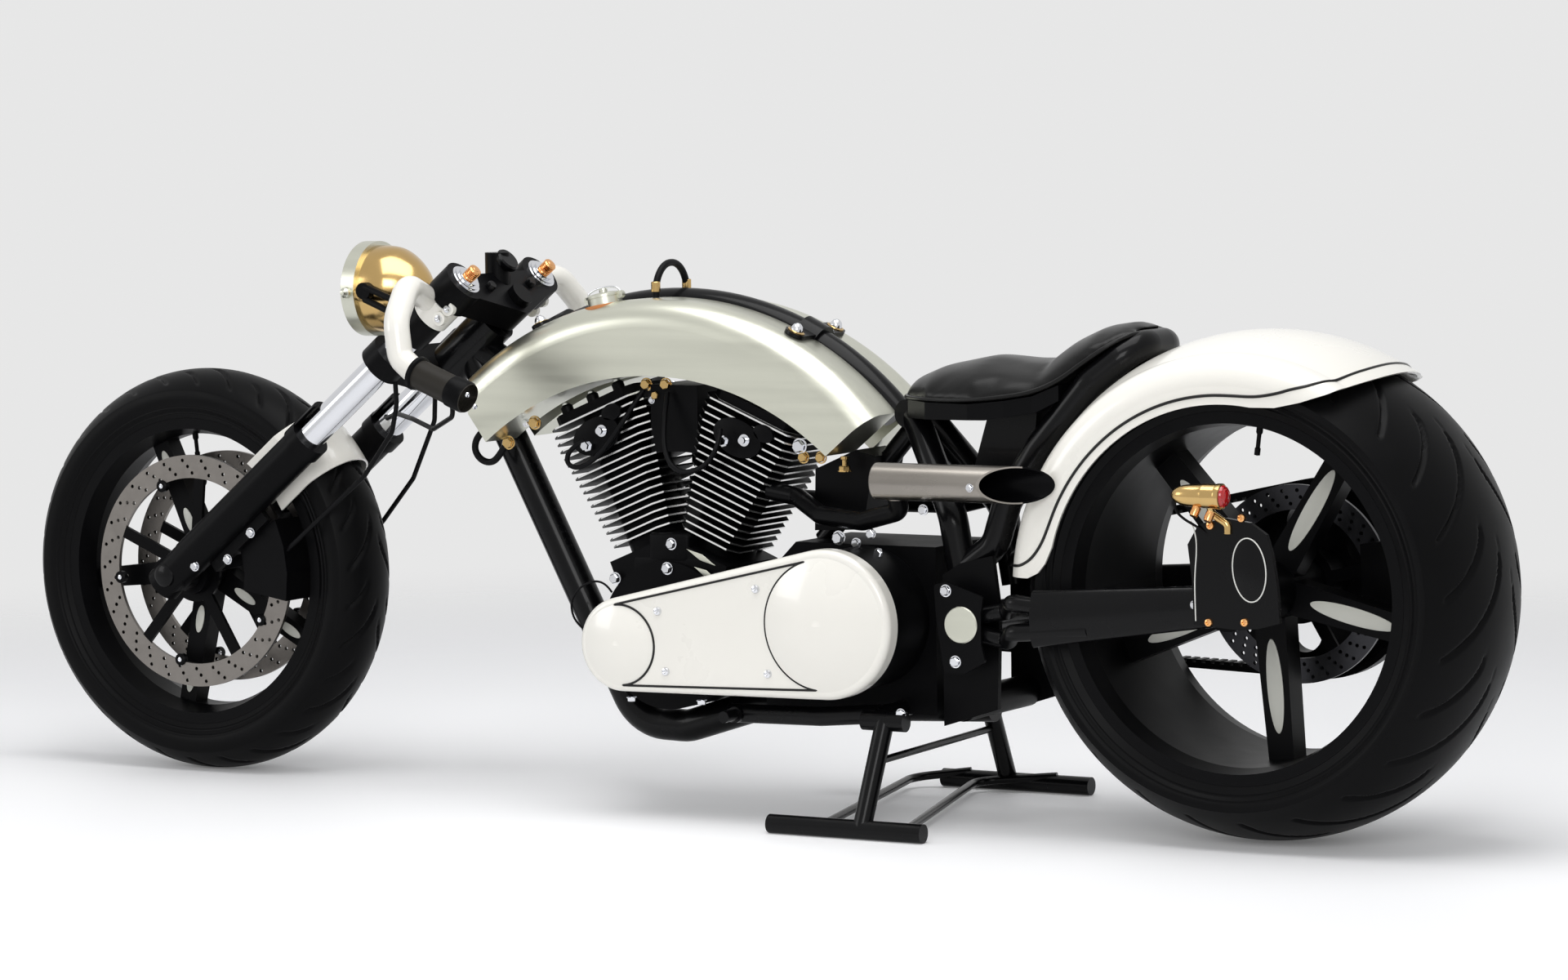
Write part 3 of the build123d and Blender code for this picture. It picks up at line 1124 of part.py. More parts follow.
with BuildPart() as grips:
    pipe([BAR_ROUTE[-1], GRIP_END], 0, GRIP_R)
    add(handlebars.part, mode=Mode.SUBTRACT)
    mirror(about=Plane.XZ)
keep("grips", grips.part)

# Headlight

LAMP_Z = 717.0
LAMP_R = 69.0
LAMP_BACK_X = 573.0
LAMP_FRONT_X = 595.0
LAMP_TAIL_X = 486.0
LAMP_WALL = 3.0
LAMP_STEP = 6.0
RIM_WALL = 9.0
LENS_DEEP = 4.0
LENS_RISE = 8.0
# Back of the bowl: distance from the tail, radius as a share of the edge's
BOWL_CURVE = ((9.0, 0.42), (40.0, 0.86))


def lamp_bowl(wall):
    """A solid bowl of the headlight's shape, smaller all round by a wall."""
    tail = LAMP_TAIL_X + wall
    edge = LAMP_R - LAMP_STEP - wall
    with BuildPart() as bowl:
        with BuildSketch(Plane(origin=(0, 0, LAMP_Z), x_dir=(1, 0, 0), z_dir=(0, -1, 0))):
            with BuildLine():
                Spline((tail, 0), *[(tail + back, edge * share) for back, share in BOWL_CURVE], (LAMP_BACK_X, edge),
                       tangents=((0, 1), (1, 0)))
                Polyline((LAMP_BACK_X, edge), (LAMP_BACK_X, 0), (tail, 0))
            make_face()
        revolve(axis=Axis((0, 0, LAMP_Z), (1, 0, 0)), revolution_arc=360)
    return bowl.part


lamp_outside = lamp_bowl(0)
with BuildPart() as headlight:
    add(lamp_outside)
    add(lamp_bowl(LAMP_WALL), mode=Mode.SUBTRACT)
keep("headlight", headlight.part)

lens_x = (LAMP_BACK_X + LAMP_FRONT_X) / 2
with BuildPart() as headlight_rim:
    bar((lens_x, 0, LAMP_Z), (1, 0, 0), LAMP_R, LAMP_FRONT_X - LAMP_BACK_X)
    with BuildSketch(Plane(origin=(lens_x, 0, LAMP_Z), z_dir=(1, 0, 0))):
        Circle(LAMP_R - RIM_WALL)
    extrude(amount=LAMP_R, mode=Mode.SUBTRACT)
keep("headlight_rim", headlight_rim.part)

with BuildPart() as headlight_lens:
    glass_r = LAMP_R - RIM_WALL
    with BuildSketch(Plane(origin=(lens_x, 0, LAMP_Z), x_dir=(1, 0, 0), z_dir=(0, -1, 0))):
        with BuildLine():
            Polyline((LENS_DEEP + LENS_RISE, 0), (0, 0), (0, glass_r), (LENS_DEEP, glass_r))
            ThreePointArc((LENS_DEEP, glass_r), (LENS_DEEP + cap_half_height(glass_r, LENS_RISE), glass_r / 2),
                          (LENS_DEEP + LENS_RISE, 0))
        make_face()
    revolve(axis=Axis((lens_x, 0, LAMP_Z), (1, 0, 0)), revolution_arc=360)
keep("headlight_lens", headlight_lens.part)

LUG_BACK = 20.0
LUG_R = 12.0
LUG_WIDE = 22.0
ROD_R = 5.0
HOLDER = (556.0, 598.0)
# The two rods of a side: height above the lamp's axis, height along the fork
RODS = ((6.0, 590.0), (-12.0, 568.0))
with BuildPart() as headlight_bracket:
    for side in (1, -1):
        bar((LAMP_BACK_X - LUG_BACK, side * (LAMP_R - LAMP_STEP), LAMP_Z), (0, 1, 0), LUG_R, LUG_WIDE)
        for rise, up in RODS:
            leg = fork_point(LUG_R, side * (FORK_HALF - RIM_WALL), up)
            pipe([(LAMP_BACK_X - LUG_BACK, side * LAMP_R, LAMP_Z + rise), (leg.X, leg.Y, leg.Z)], 0, ROD_R)
    with BuildSketch(fork_level(HOLDER[0])):
        with Locations((0, FORK_HALF), (0, -FORK_HALF)):
            Circle(FORK_R + ROD_R)
    extrude(amount=HOLDER[1] - HOLDER[0])
    add(fork_tubes.part, mode=Mode.SUBTRACT)
    add(lamp_outside, mode=Mode.SUBTRACT)
    add(handlebars.part, mode=Mode.SUBTRACT)
keep("headlight_bracket", headlight_bracket.part)

# Front fender and calipers

HUGGER_R = 312.0
HUGGER_HALF = 70.0
HUGGER_WALL = 3.0
HUGGER_SHOULDER_R = 262.0
HUGGER_SKIRT_R = 200.0
HUGGER_LOW = 190.0
HUGGER_HIGH = 350.0
HUGGER_DEEP = 90.0
HUGGER_AHEAD = 7.0
EAR_UP = 215.0
EAR_R = 9.0
with BuildPart() as front_fender:
    with BuildSketch(Plane(origin=(FRONT_X, 0, FRONT_Z), x_dir=(1, 0, 0), z_dir=(0, 0, 1))):
        with BuildLine():
            inner_half = HUGGER_HALF - HUGGER_WALL
            inner_shoulder = HUGGER_SHOULDER_R - HUGGER_WALL / 3
            ThreePointArc((HUGGER_SHOULDER_R, -HUGGER_HALF), (HUGGER_R, 0), (HUGGER_SHOULDER_R, HUGGER_HALF))
            ThreePointArc((inner_shoulder, inner_half), (HUGGER_R - HUGGER_WALL, 0), (inner_shoulder, -inner_half))
            for side in (1, -1):
                Polyline((HUGGER_SHOULDER_R, side * HUGGER_HALF), (HUGGER_SKIRT_R, side * HUGGER_HALF),
                         (HUGGER_SKIRT_R, side * inner_half), (inner_shoulder, side * inner_half))
        make_face()
    revolve(axis=Axis((FRONT_X, 0, FRONT_Z), (0, -1, 0)), revolution_arc=180)
    with BuildSketch(fork_level(HUGGER_LOW)):
        with Locations((HUGGER_AHEAD, 0)):
            Rectangle(HUGGER_DEEP, 3 * HUGGER_HALF)
    extrude(amount=HUGGER_HIGH - HUGGER_LOW, mode=Mode.INTERSECT)
    for side in (1, -1):
        bar(fork_point(-HUGGER_AHEAD, side * HUGGER_HALF, EAR_UP), (0, 1, 0), EAR_R, 2 * HUGGER_WALL)
    add(fork_legs.part, mode=Mode.SUBTRACT)
keep("front_fender", front_fender.part)

CALIPER_IN_R = 118.0
CALIPER_OUT_R = 194.0
CALIPER_ANGLES = (154.0, 166.0, 178.0, 190.0)
CALIPER_REACH = 2 * BRACKET_WALL
HUB_ROOM_HALF = 21.0


# The face between two arcs round the front axle
caliper_corners = [
    (FRONT_X + radius * cos(radians(angle)), FRONT_Z + radius * sin(radians(angle)))
    for radius, angles in ((CALIPER_OUT_R, CALIPER_ANGLES), (CALIPER_IN_R, tuple(reversed(CALIPER_ANGLES))))
    for angle in angles
]

with BuildPart() as front_calipers:
    disc_room = FRONT_DISC_Y + DISC_WALL / 2 + RUN_CLEAR
    with BuildSketch(side_plane(0)):
        with BuildLine():
            Polyline(*caliper_corners, close=True)
        make_face()
    extrude(amount=FORK_HALF - CALIPER_REACH, both=True)
    bar((FRONT_X, 0, FRONT_Z), (0, 1, 0), FRONT_DISC_R + RUN_CLEAR, 2 * disc_room, mode=Mode.SUBTRACT)
    with BuildSketch(side_plane(0)):
        with BuildLine():
            Polyline(*caliper_corners, close=True)
        make_face()
    extrude(amount=disc_room - DISC_WALL - 2 * RUN_CLEAR, both=True)
    bar((FRONT_X, 0, FRONT_Z), (0, 1, 0), CALIPER_OUT_R + 2 * RUN_CLEAR, 2 * HUB_ROOM_HALF, mode=Mode.SUBTRACT)
    add(fork_legs.part, mode=Mode.SUBTRACT)
keep("front_calipers", front_calipers.part)

# Brake hoses, each with straight runs and arcs: x, y, z

LINE_R = 3.5
LINE_BEND = 24.0
LINE_LEFT = ((738.0, 72.0, 318.0), (694.0, 76.0, 338.0), (553.0, 78.0, 451.0), (500.0, 84.0, 515.0),
             (487.0, 90.0, 556.0), (486.0, 94.0, 590.0))
LINE_RIGHT = ((738.0, -72.0, 318.0), (694.0, -76.0, 338.0), (630.0, -76.0, 367.0), (563.0, -62.0, 436.0),
              (505.0, -34.0, 524.0), (496.0, -24.0, 575.0))
LINE_GRIP = ((292.0, 240.0, 575.0), (300.0, 228.0, 552.0), (378.0, 160.0, 528.0), (460.0, 90.0, 536.0),
             (549.0, 0.0, 536.0), (600.0, -52.0, 524.0), (621.0, -80.0, 524.0))
with BuildPart() as brake_lines:
    for route in (LINE_LEFT, LINE_RIGHT, LINE_GRIP):
        pipe(list(route), LINE_BEND, LINE_R)
    for piece in (fork_legs, fork_tubes, front_calipers, triple_clamps, grips, handlebars):
        add(piece.part, mode=Mode.SUBTRACT)
keep("brake_lines", brake_lines.part)

for name in made:
    print(name, round(made[name].volume), made[name].is_valid, len(made[name].solids()))
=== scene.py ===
# %% [markdown]
# A long, low chopper motorcycle on its stand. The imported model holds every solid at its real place, so this
# lesson dresses it: each cell looks at one piece or one finish of the real machine, says how it is made, and
# builds it with Blender's own mesh operators and shader nodes. Everything is in metres: X runs forward,
# Y to the rider's left and Z up.

# %% Load the frame
import bpy
import bmesh
from math import asin, atan2, cos, pi, radians, sin, sqrt
from mathutils import Matrix, Vector
from mathutils.bvhtree import BVHTree


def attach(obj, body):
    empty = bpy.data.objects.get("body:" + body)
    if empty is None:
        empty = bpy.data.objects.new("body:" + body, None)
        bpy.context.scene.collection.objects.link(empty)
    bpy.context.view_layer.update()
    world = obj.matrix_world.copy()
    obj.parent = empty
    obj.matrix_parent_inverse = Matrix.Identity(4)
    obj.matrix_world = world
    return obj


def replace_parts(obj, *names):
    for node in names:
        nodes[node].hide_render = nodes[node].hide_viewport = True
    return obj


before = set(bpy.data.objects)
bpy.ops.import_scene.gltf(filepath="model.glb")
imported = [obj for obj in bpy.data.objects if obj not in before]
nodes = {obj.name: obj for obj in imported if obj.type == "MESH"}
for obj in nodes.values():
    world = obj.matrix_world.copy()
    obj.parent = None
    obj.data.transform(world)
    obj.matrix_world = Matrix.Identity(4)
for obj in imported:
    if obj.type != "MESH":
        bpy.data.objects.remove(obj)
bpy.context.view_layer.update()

# %% [markdown]
# The camera stands behind the rider's left shoulder, low and far away with a long lens, so the wheels look
# nearly round and the floor is almost seen from its edge. Its three axes are worked out from how far it is
# turned, tipped and rolled.

# %% Camera
CAMERA_AT = Vector((-3.7859, 6.4007, 1.0610))
YAW, PITCH, ROLL = radians(29.94), radians(4.78), radians(-0.79)
LENS = 122.1

looking = Vector((sin(YAW) * cos(PITCH), -cos(YAW) * cos(PITCH), -sin(PITCH)))
right = looking.cross(Vector((0, 0, 1))).normalized()
up = right.cross(looking)
rolled_right = right * cos(ROLL) + up * sin(ROLL)
rolled_up = up * cos(ROLL) - right * sin(ROLL)

camera_data = bpy.data.cameras.new("camera")
camera_data.lens = LENS
camera_data.sensor_width = 36
camera_data.clip_end = 100
camera = bpy.data.objects.new("camera", camera_data)
bpy.context.scene.collection.objects.link(camera)
camera.matrix_world = Matrix((
    (rolled_right.x, rolled_up.x, -looking.x, CAMERA_AT.x),
    (rolled_right.y, rolled_up.y, -looking.y, CAMERA_AT.y),
    (rolled_right.z, rolled_up.z, -looking.z, CAMERA_AT.z),
    (0, 0, 0, 1),
))
bpy.context.scene.camera = camera
print("camera", LENS, "mm lens", round((CAMERA_AT - Vector((0, 0, 0.35))).length, 2), "m away")

# %% [markdown]
# Shader trees are built from small nodes, and most of them are sums. Short helpers keep that readable: each adds
# one node, feeds its inputs with numbers or with other nodes' outputs, and returns what the next node needs.

# %% Helpers for shader trees
def feed(tree, socket, value):
    """Gives a socket a number or the output of another node."""
    if isinstance(value, bpy.types.NodeSocket):
        tree.links.new(value, socket)
    else:
        socket.default_value = value


def math_node(tree, operation, *values):
    """A math node of a shader tree, fed by numbers or by other nodes' sockets."""
    node = tree.nodes.new("ShaderNodeMath")
    node.operation = operation
    for socket, value in zip(node.inputs, values):
        feed(tree, socket, value)
    return node.outputs[0]


def vector_node(tree, operation, *values):
    """A vector math node: its number for a length or a dot product, else its vector."""
    node = tree.nodes.new("ShaderNodeVectorMath")
    node.operation = operation
    for socket, value in zip(node.inputs, values):
        feed(tree, socket, value)
    return node.outputs["Value" if operation in ("LENGTH", "DOT_PRODUCT") else "Vector"]


def smooth_step(tree, value, low, high, first=0.0, last=1.0):
    """A soft change from one number to another between two limits of a value."""
    node = tree.nodes.new("ShaderNodeMapRange")
    node.interpolation_type = "SMOOTHSTEP"
    limits = {"Value": value, "From Min": low, "From Max": high, "To Min": first, "To Max": last}
    for socket, number in limits.items():
        feed(tree, node.inputs[socket], number)
    return node.outputs[0]


def object_place(tree):
    """A piece's own coordinates, which are metres in the machine's frame."""
    return tree.nodes.new("ShaderNodeTexCoord").outputs["Object"]


def split(tree, vector):
    """The X, Y and Z of a vector."""
    node = tree.nodes.new("ShaderNodeSeparateXYZ")
    tree.links.new(vector, node.inputs[0])
    return node.outputs


def mixed(tree, share, first, second):
    """A mix of two shaders."""
    node = tree.nodes.new("ShaderNodeMixShader")
    for socket, value in zip(node.inputs, (share, first, second)):
        tree.links.new(value, socket)
    return node.outputs[0]


print("shader helpers ready")

# %% [markdown]
# A photographer's white room: a pale floor that keeps the shadow, a large soft light above, a second one from
# the camera's side and a low fill. The backdrop is only a colour that the camera, glossy and glass rays see,
# so it lights nothing by itself and the paint keeps its own brightness. The floor fades into it.

# %% Studio
view_settings = bpy.context.scene.view_settings
view_settings.view_transform = "Standard"

BACKDROP = (0.80, 0.80, 0.80, 1)
ROOM_LIGHT = (0.62, 0.63, 0.65, 1)
ROOM_STRENGTH = 0.55
FLOOR_COLOR = (0.93, 0.93, 0.94, 1)
FLOOR_GLOW = 0.10
FLOOR_FADE = (1.7, 3.6)


def seen_directly(tree):
    """1 for camera rays and for rays off metal or through glass, 0 for the rays that light things."""
    path = tree.nodes.new("ShaderNodeLightPath")
    camera_or_glossy = math_node(tree, "MAXIMUM", path.outputs["Is Camera Ray"], path.outputs["Is Glossy Ray"])
    return math_node(tree, "MAXIMUM", camera_or_glossy, path.outputs["Is Transmission Ray"])


world = bpy.data.worlds.new("white room")
bpy.context.scene.world = world
world.use_nodes = True
tree = world.node_tree
tree.nodes.clear()
output = tree.nodes.new("ShaderNodeOutputWorld")
walls = []
for color, strength in ((ROOM_LIGHT, ROOM_STRENGTH), (BACKDROP, 1.0)):
    wall = tree.nodes.new("ShaderNodeBackground")
    wall.inputs["Color"].default_value = color
    wall.inputs["Strength"].default_value = strength
    walls.append(wall.outputs[0])
tree.links.new(mixed(tree, seen_directly(tree), *walls), output.inputs["Surface"])


def soft_light(name, place, target, size, power):
    """A large square area light that points at a target."""
    data = bpy.data.lights.new(name, "AREA")
    data.shape = "SQUARE"
    data.size = size
    data.energy = power
    light = bpy.data.objects.new(name, data)
    bpy.context.scene.collection.objects.link(light)
    light.location = place
    light.rotation_euler = (Vector(target) - Vector(place)).to_track_quat("-Z", "Y").to_euler()
    return light


soft_light("overhead", (-0.4, 0.5, 3.0), (0, 0, 0.4), 2.4, 66)
soft_light("camera side", (-2.4, 4.6, 2.4), (0, 0, 0.4), 2.0, 82)
soft_light("front fill", (3.6, 3.0, 1.8), (0.3, 0, 0.4), 1.8, 30)

bm = bmesh.new()
bmesh.ops.create_grid(bm, x_segments=1, y_segments=1, size=30)
floor_mesh = bpy.data.meshes.new("floor")
bm.to_mesh(floor_mesh)
bm.free()
floor = bpy.data.objects.new("floor", floor_mesh)
bpy.context.scene.collection.objects.link(floor)
floor_paint = bpy.data.materials.new("floor")
floor_paint.use_nodes = True
floor_shader = floor_paint.node_tree.nodes["Principled BSDF"]
floor_shader.inputs["Base Color"].default_value = FLOOR_COLOR
floor_shader.inputs["Roughness"].default_value = 0.55
floor_shader.inputs["Emission Color"].default_value = (1, 1, 1, 1)
tree = floor_paint.node_tree
glow = math_node(tree, "MULTIPLY", seen_directly(tree), FLOOR_GLOW)
tree.links.new(glow, floor_shader.inputs["Emission Strength"])
fade = smooth_step(tree, vector_node(tree, "LENGTH", object_place(tree)), *FLOOR_FADE)
gone = tree.nodes.new("ShaderNodeBsdfTransparent")
floor_look = mixed(tree, fade, floor_shader.outputs[0], gone.outputs[0])
tree.links.new(floor_look, tree.nodes["Material Output"].inputs["Surface"])
floor_mesh.materials.append(floor_paint)

# %% [markdown]
# Every finish on the machine is a small shader tree on the Principled BSDF. A finish that differs from place to
# place gets noise on Object coordinates, which read straight in metres because each piece sits at the origin.
# One helper makes the tree with a mottled colour, a mottled roughness and a fine bump, and the rest of the lesson
# only gives it numbers.

# %% A helper for finishes
def finish(name, color, roughness, metallic=0.0, mottle=0.0, mottle_size=0.05, bump=0.0, bump_size=0.002,
           stretch=(1, 1, 1), uneven=0.05, coat=0.0, coat_roughness=0.1, specular=0.5, sheen=0.0):
    """A Principled material with noise in its colour, its roughness and its surface."""
    material = bpy.data.materials.new(name)
    material.use_nodes = True
    tree = material.node_tree
    shader = tree.nodes["Principled BSDF"]
    shader.inputs["Metallic"].default_value = metallic
    shader.inputs["Coat Weight"].default_value = coat
    shader.inputs["Coat Roughness"].default_value = coat_roughness
    shader.inputs["Specular IOR Level"].default_value = specular
    shader.inputs["Sheen Weight"].default_value = sheen
    mapping = tree.nodes.new("ShaderNodeMapping")
    mapping.inputs["Scale"].default_value = stretch
    tree.links.new(object_place(tree), mapping.inputs["Vector"])

    wide = tree.nodes.new("ShaderNodeTexNoise")
    wide.inputs["Scale"].default_value = 1 / mottle_size
    wide.inputs["Detail"].default_value = 6
    tree.links.new(mapping.outputs[0], wide.inputs["Vector"])
    tint = tree.nodes.new("ShaderNodeMapRange")
    tint.inputs["To Min"].default_value = 1 - mottle
    tint.inputs["To Max"].default_value = 1 + mottle
    tree.links.new(wide.outputs["Fac"], tint.inputs["Value"])
    paint = tree.nodes.new("ShaderNodeVectorMath")
    paint.operation = "SCALE"
    paint.inputs[0].default_value = color
    tree.links.new(tint.outputs[0], paint.inputs["Scale"])
    tree.links.new(paint.outputs[0], shader.inputs["Base Color"])

    polish = tree.nodes.new("ShaderNodeMapRange")
    polish.inputs["To Min"].default_value = max(0.02, roughness - uneven)
    polish.inputs["To Max"].default_value = min(1.0, roughness + uneven)
    tree.links.new(wide.outputs["Fac"], polish.inputs["Value"])
    tree.links.new(polish.outputs[0], shader.inputs["Roughness"])

    if bump:
        fine = tree.nodes.new("ShaderNodeTexNoise")
        fine.inputs["Scale"].default_value = 1 / bump_size
        fine.inputs["Detail"].default_value = 3
        tree.links.new(mapping.outputs[0], fine.inputs["Vector"])
        relief = tree.nodes.new("ShaderNodeBump")
        relief.inputs["Distance"].default_value = bump
        relief.inputs["Strength"].default_value = 0.6
        tree.links.new(fine.outputs["Fac"], relief.inputs["Height"])
        tree.links.new(relief.outputs[0], shader.inputs["Normal"])
    return material


print("finish helper ready")

# %% [markdown]
# The palette follows the photograph: warm white paint, raw brushed metal, brass, deep black paint and leather.
# Black paint on a machine is never pure black, because dust and light lift it a little.

# %% The palette
DEEP_BLACK = (0.0022, 0.0022, 0.0026)
white_paint = finish("white paint", (0.83, 0.81, 0.75), 0.28, mottle=0.015, mottle_size=0.2, bump=0.00003,
                     bump_size=0.004, coat=0.6, coat_roughness=0.06)
black_gloss = finish("gloss black paint", DEEP_BLACK, 0.28, mottle=0.15, mottle_size=0.08, bump=0.00002,
                     bump_size=0.003, coat=0.12, coat_roughness=0.06, specular=0.1)
black_satin = finish("satin black paint", DEEP_BLACK, 0.38, mottle=0.2, mottle_size=0.04, bump=0.00006,
                     bump_size=0.0012, specular=0.07)
black_wrinkle = finish("wrinkle black paint", DEEP_BLACK, 0.45, mottle=0.3, mottle_size=0.03, bump=0.0002,
                       bump_size=0.0009, specular=0.06)
raw_metal = finish("brushed raw metal", (0.60, 0.605, 0.52), 0.32, metallic=1.0, mottle=0.08, mottle_size=0.012,
                   bump=0.00002, bump_size=0.0006, stretch=(0.05, 1, 1), uneven=0.06)
polished_steel = finish("polished steel", (0.72, 0.73, 0.76), 0.1, metallic=1.0, mottle=0.03, bump=0.00001,
                        bump_size=0.003, uneven=0.03)
pipe_steel = finish("heat-stained steel", (0.27, 0.25, 0.225), 0.28, metallic=1.0, mottle=0.35, mottle_size=0.04,
                    bump=0.00003, bump_size=0.001, stretch=(0.2, 1, 1), uneven=0.08)
brass = finish("brass", (0.56, 0.38, 0.155), 0.18, metallic=1.0, mottle=0.08, mottle_size=0.03, bump=0.00002,
               bump_size=0.002, uneven=0.06)
tyre_rubber = finish("tyre rubber", (0.0025, 0.0025, 0.0028), 0.42, mottle=0.25, mottle_size=0.05, bump=0.00008,
                     bump_size=0.0012, specular=0.07, uneven=0.08)
belt_rubber = finish("belt rubber", (0.003, 0.003, 0.0035), 0.45, mottle=0.2, bump=0.00005, bump_size=0.001,
                     specular=0.1)
grip_rubber = finish("grip rubber", (0.014, 0.012, 0.009), 0.5, mottle=0.15, bump=0.0001, bump_size=0.0008,
                     specular=0.2)
black_leather = finish("black leather", (0.0025, 0.0025, 0.0025), 0.3, mottle=0.2, mottle_size=0.03, bump=0.00012,
                       bump_size=0.0016, specular=0.2, uneven=0.06)
print("palette of", len(bpy.data.materials), "materials")

# %% [markdown]
# On an air-cooled engine the fins are painted black with the rest of the barrel, and then their edges are cut
# back to bright metal on a milling machine. Cut edges face away from the cylinder's axis, so the shader compares
# each face's own direction with that axis, and leaves the deep barrel between the fins black.

# %% Black fins with bright edges
CRANK = Vector((0.0485, 0, 0.241))
LEAN = 22.5
FIN_LOW, FIN_HIGH, BARREL_REACH = 0.140, 0.336, 0.050
CUT_METAL = (0.78, 0.78, 0.77, 1)
CUT_POLISH = 0.22


def bare_metal(material, share, black, bare=None):
    """Makes a finish metal where the share is 1; a color left out is the finish's own."""
    tree = material.node_tree
    shader = tree.nodes["Principled BSDF"]
    paint = shader.inputs["Base Color"].links[0].from_socket
    blend = tree.nodes.new("ShaderNodeMix")
    blend.data_type = "RGBA"
    feed(tree, blend.inputs["Factor"], share)
    feed(tree, blend.inputs["A"], black or paint)
    feed(tree, blend.inputs["B"], bare or paint)
    tree.links.new(blend.outputs["Result"], shader.inputs["Base Color"])
    tree.links.new(share, shader.inputs["Metallic"])
    shader.inputs["Specular IOR Level"].default_value = 0.06


def fin_material(name, lean):
    """Wrinkle black with bright metal on the faces that look away from the cylinder's axis."""
    material = finish(name, DEEP_BLACK, 0.45, mottle=0.3, mottle_size=0.03, bump=0.0002, bump_size=0.0009)
    tree = material.node_tree
    shader = tree.nodes["Principled BSDF"]
    axis = Vector((sin(radians(lean)), 0, cos(radians(lean))))
    geometry = tree.nodes.new("ShaderNodeNewGeometry")
    facing = vector_node(tree, "DOT_PRODUCT", geometry.outputs["True Normal"], axis)
    from_crank = vector_node(tree, "SUBTRACT", object_place(tree), CRANK)
    up = vector_node(tree, "DOT_PRODUCT", from_crank, axis)
    length = vector_node(tree, "LENGTH", from_crank)
    away_squared = math_node(tree, "SUBTRACT", math_node(tree, "POWER", length, 2.0), math_node(tree, "POWER", up, 2.0))
    away = math_node(tree, "SQRT", math_node(tree, "MAXIMUM", away_squared, 0.0))
    bright = smooth_step(tree, math_node(tree, "ABSOLUTE", facing), 0.3, 0.5, 1.0, 0.0)
    for value, low, high, first, last in ((up, FIN_LOW - 0.002, FIN_LOW, 0.0, 1.0),
                                          (up, FIN_HIGH, FIN_HIGH + 0.001, 1.0, 0.0),
                                          (away, BARREL_REACH, BARREL_REACH + 0.002, 0.0, 1.0)):
        bright = math_node(tree, "MULTIPLY", bright, smooth_step(tree, value, low, high, first, last))
    bare_metal(material, bright, None, CUT_METAL)
    polish = shader.inputs["Roughness"].links[0].from_socket
    softer = math_node(tree, "SUBTRACT", polish, math_node(tree, "MULTIPLY", bright, CUT_POLISH))
    tree.links.new(softer, shader.inputs["Roughness"])
    return material


fin_finish = {"front": fin_material("front cylinder fins", LEAN), "rear": fin_material("rear cylinder fins", -LEAN)}
print("fin finishes", list(fin_finish))

# %% [markdown]
# The two exhaust pipes are black from the heads to their straight ends, which are bare steel outside and black inside
# the bore. The shader measures how far a point is from the straight pipe's axis, and whether its face looks toward that
# axis, and keeps the steel on the outside of the straight end alone.

# %% Exhaust pipe ends
PIPE_Y, PIPE_Z, PIPE_REACH = 0.188, 0.478, 0.0262
PIPE_START = (-0.354, -0.351)
INWARD_LIMIT = -0.004

tree = pipe_steel.node_tree
place = split(tree, object_place(tree))
normal = split(tree, tree.nodes.new("ShaderNodeNewGeometry").outputs["True Normal"])
side = math_node(tree, "SIGN", place["Y"])
from_axis_y = math_node(tree, "SUBTRACT", math_node(tree, "ABSOLUTE", place["Y"]), PIPE_Y)
from_axis_z = math_node(tree, "SUBTRACT", place["Z"], PIPE_Z)
outward_y = math_node(tree, "MULTIPLY", from_axis_y, math_node(tree, "MULTIPLY", side, normal["Y"]))
outward_z = math_node(tree, "MULTIPLY", from_axis_z, normal["Z"])
outside = math_node(tree, "GREATER_THAN", math_node(tree, "ADD", outward_y, outward_z), INWARD_LIMIT)
squared = math_node(tree, "ADD", math_node(tree, "POWER", from_axis_y, 2.0), math_node(tree, "POWER", from_axis_z, 2.0))
straight = math_node(tree, "MULTIPLY", math_node(tree, "LESS_THAN", squared, PIPE_REACH ** 2),
                     smooth_step(tree, place["X"], *PIPE_START, 1.0, 0.0))
bare_metal(pipe_steel, math_node(tree, "MULTIPLY", straight, outside), (*DEEP_BLACK, 1))
print("bare steel behind x", PIPE_START[0])

# %% [markdown]
# A brake disc is ground steel, drilled right through in slanting rows of three so that water and dust get away.
# The holes follow a rule, so the shader can cut them: it reads how far a point is from the axle and at what angle,
# and lets light through where that falls in a hole.

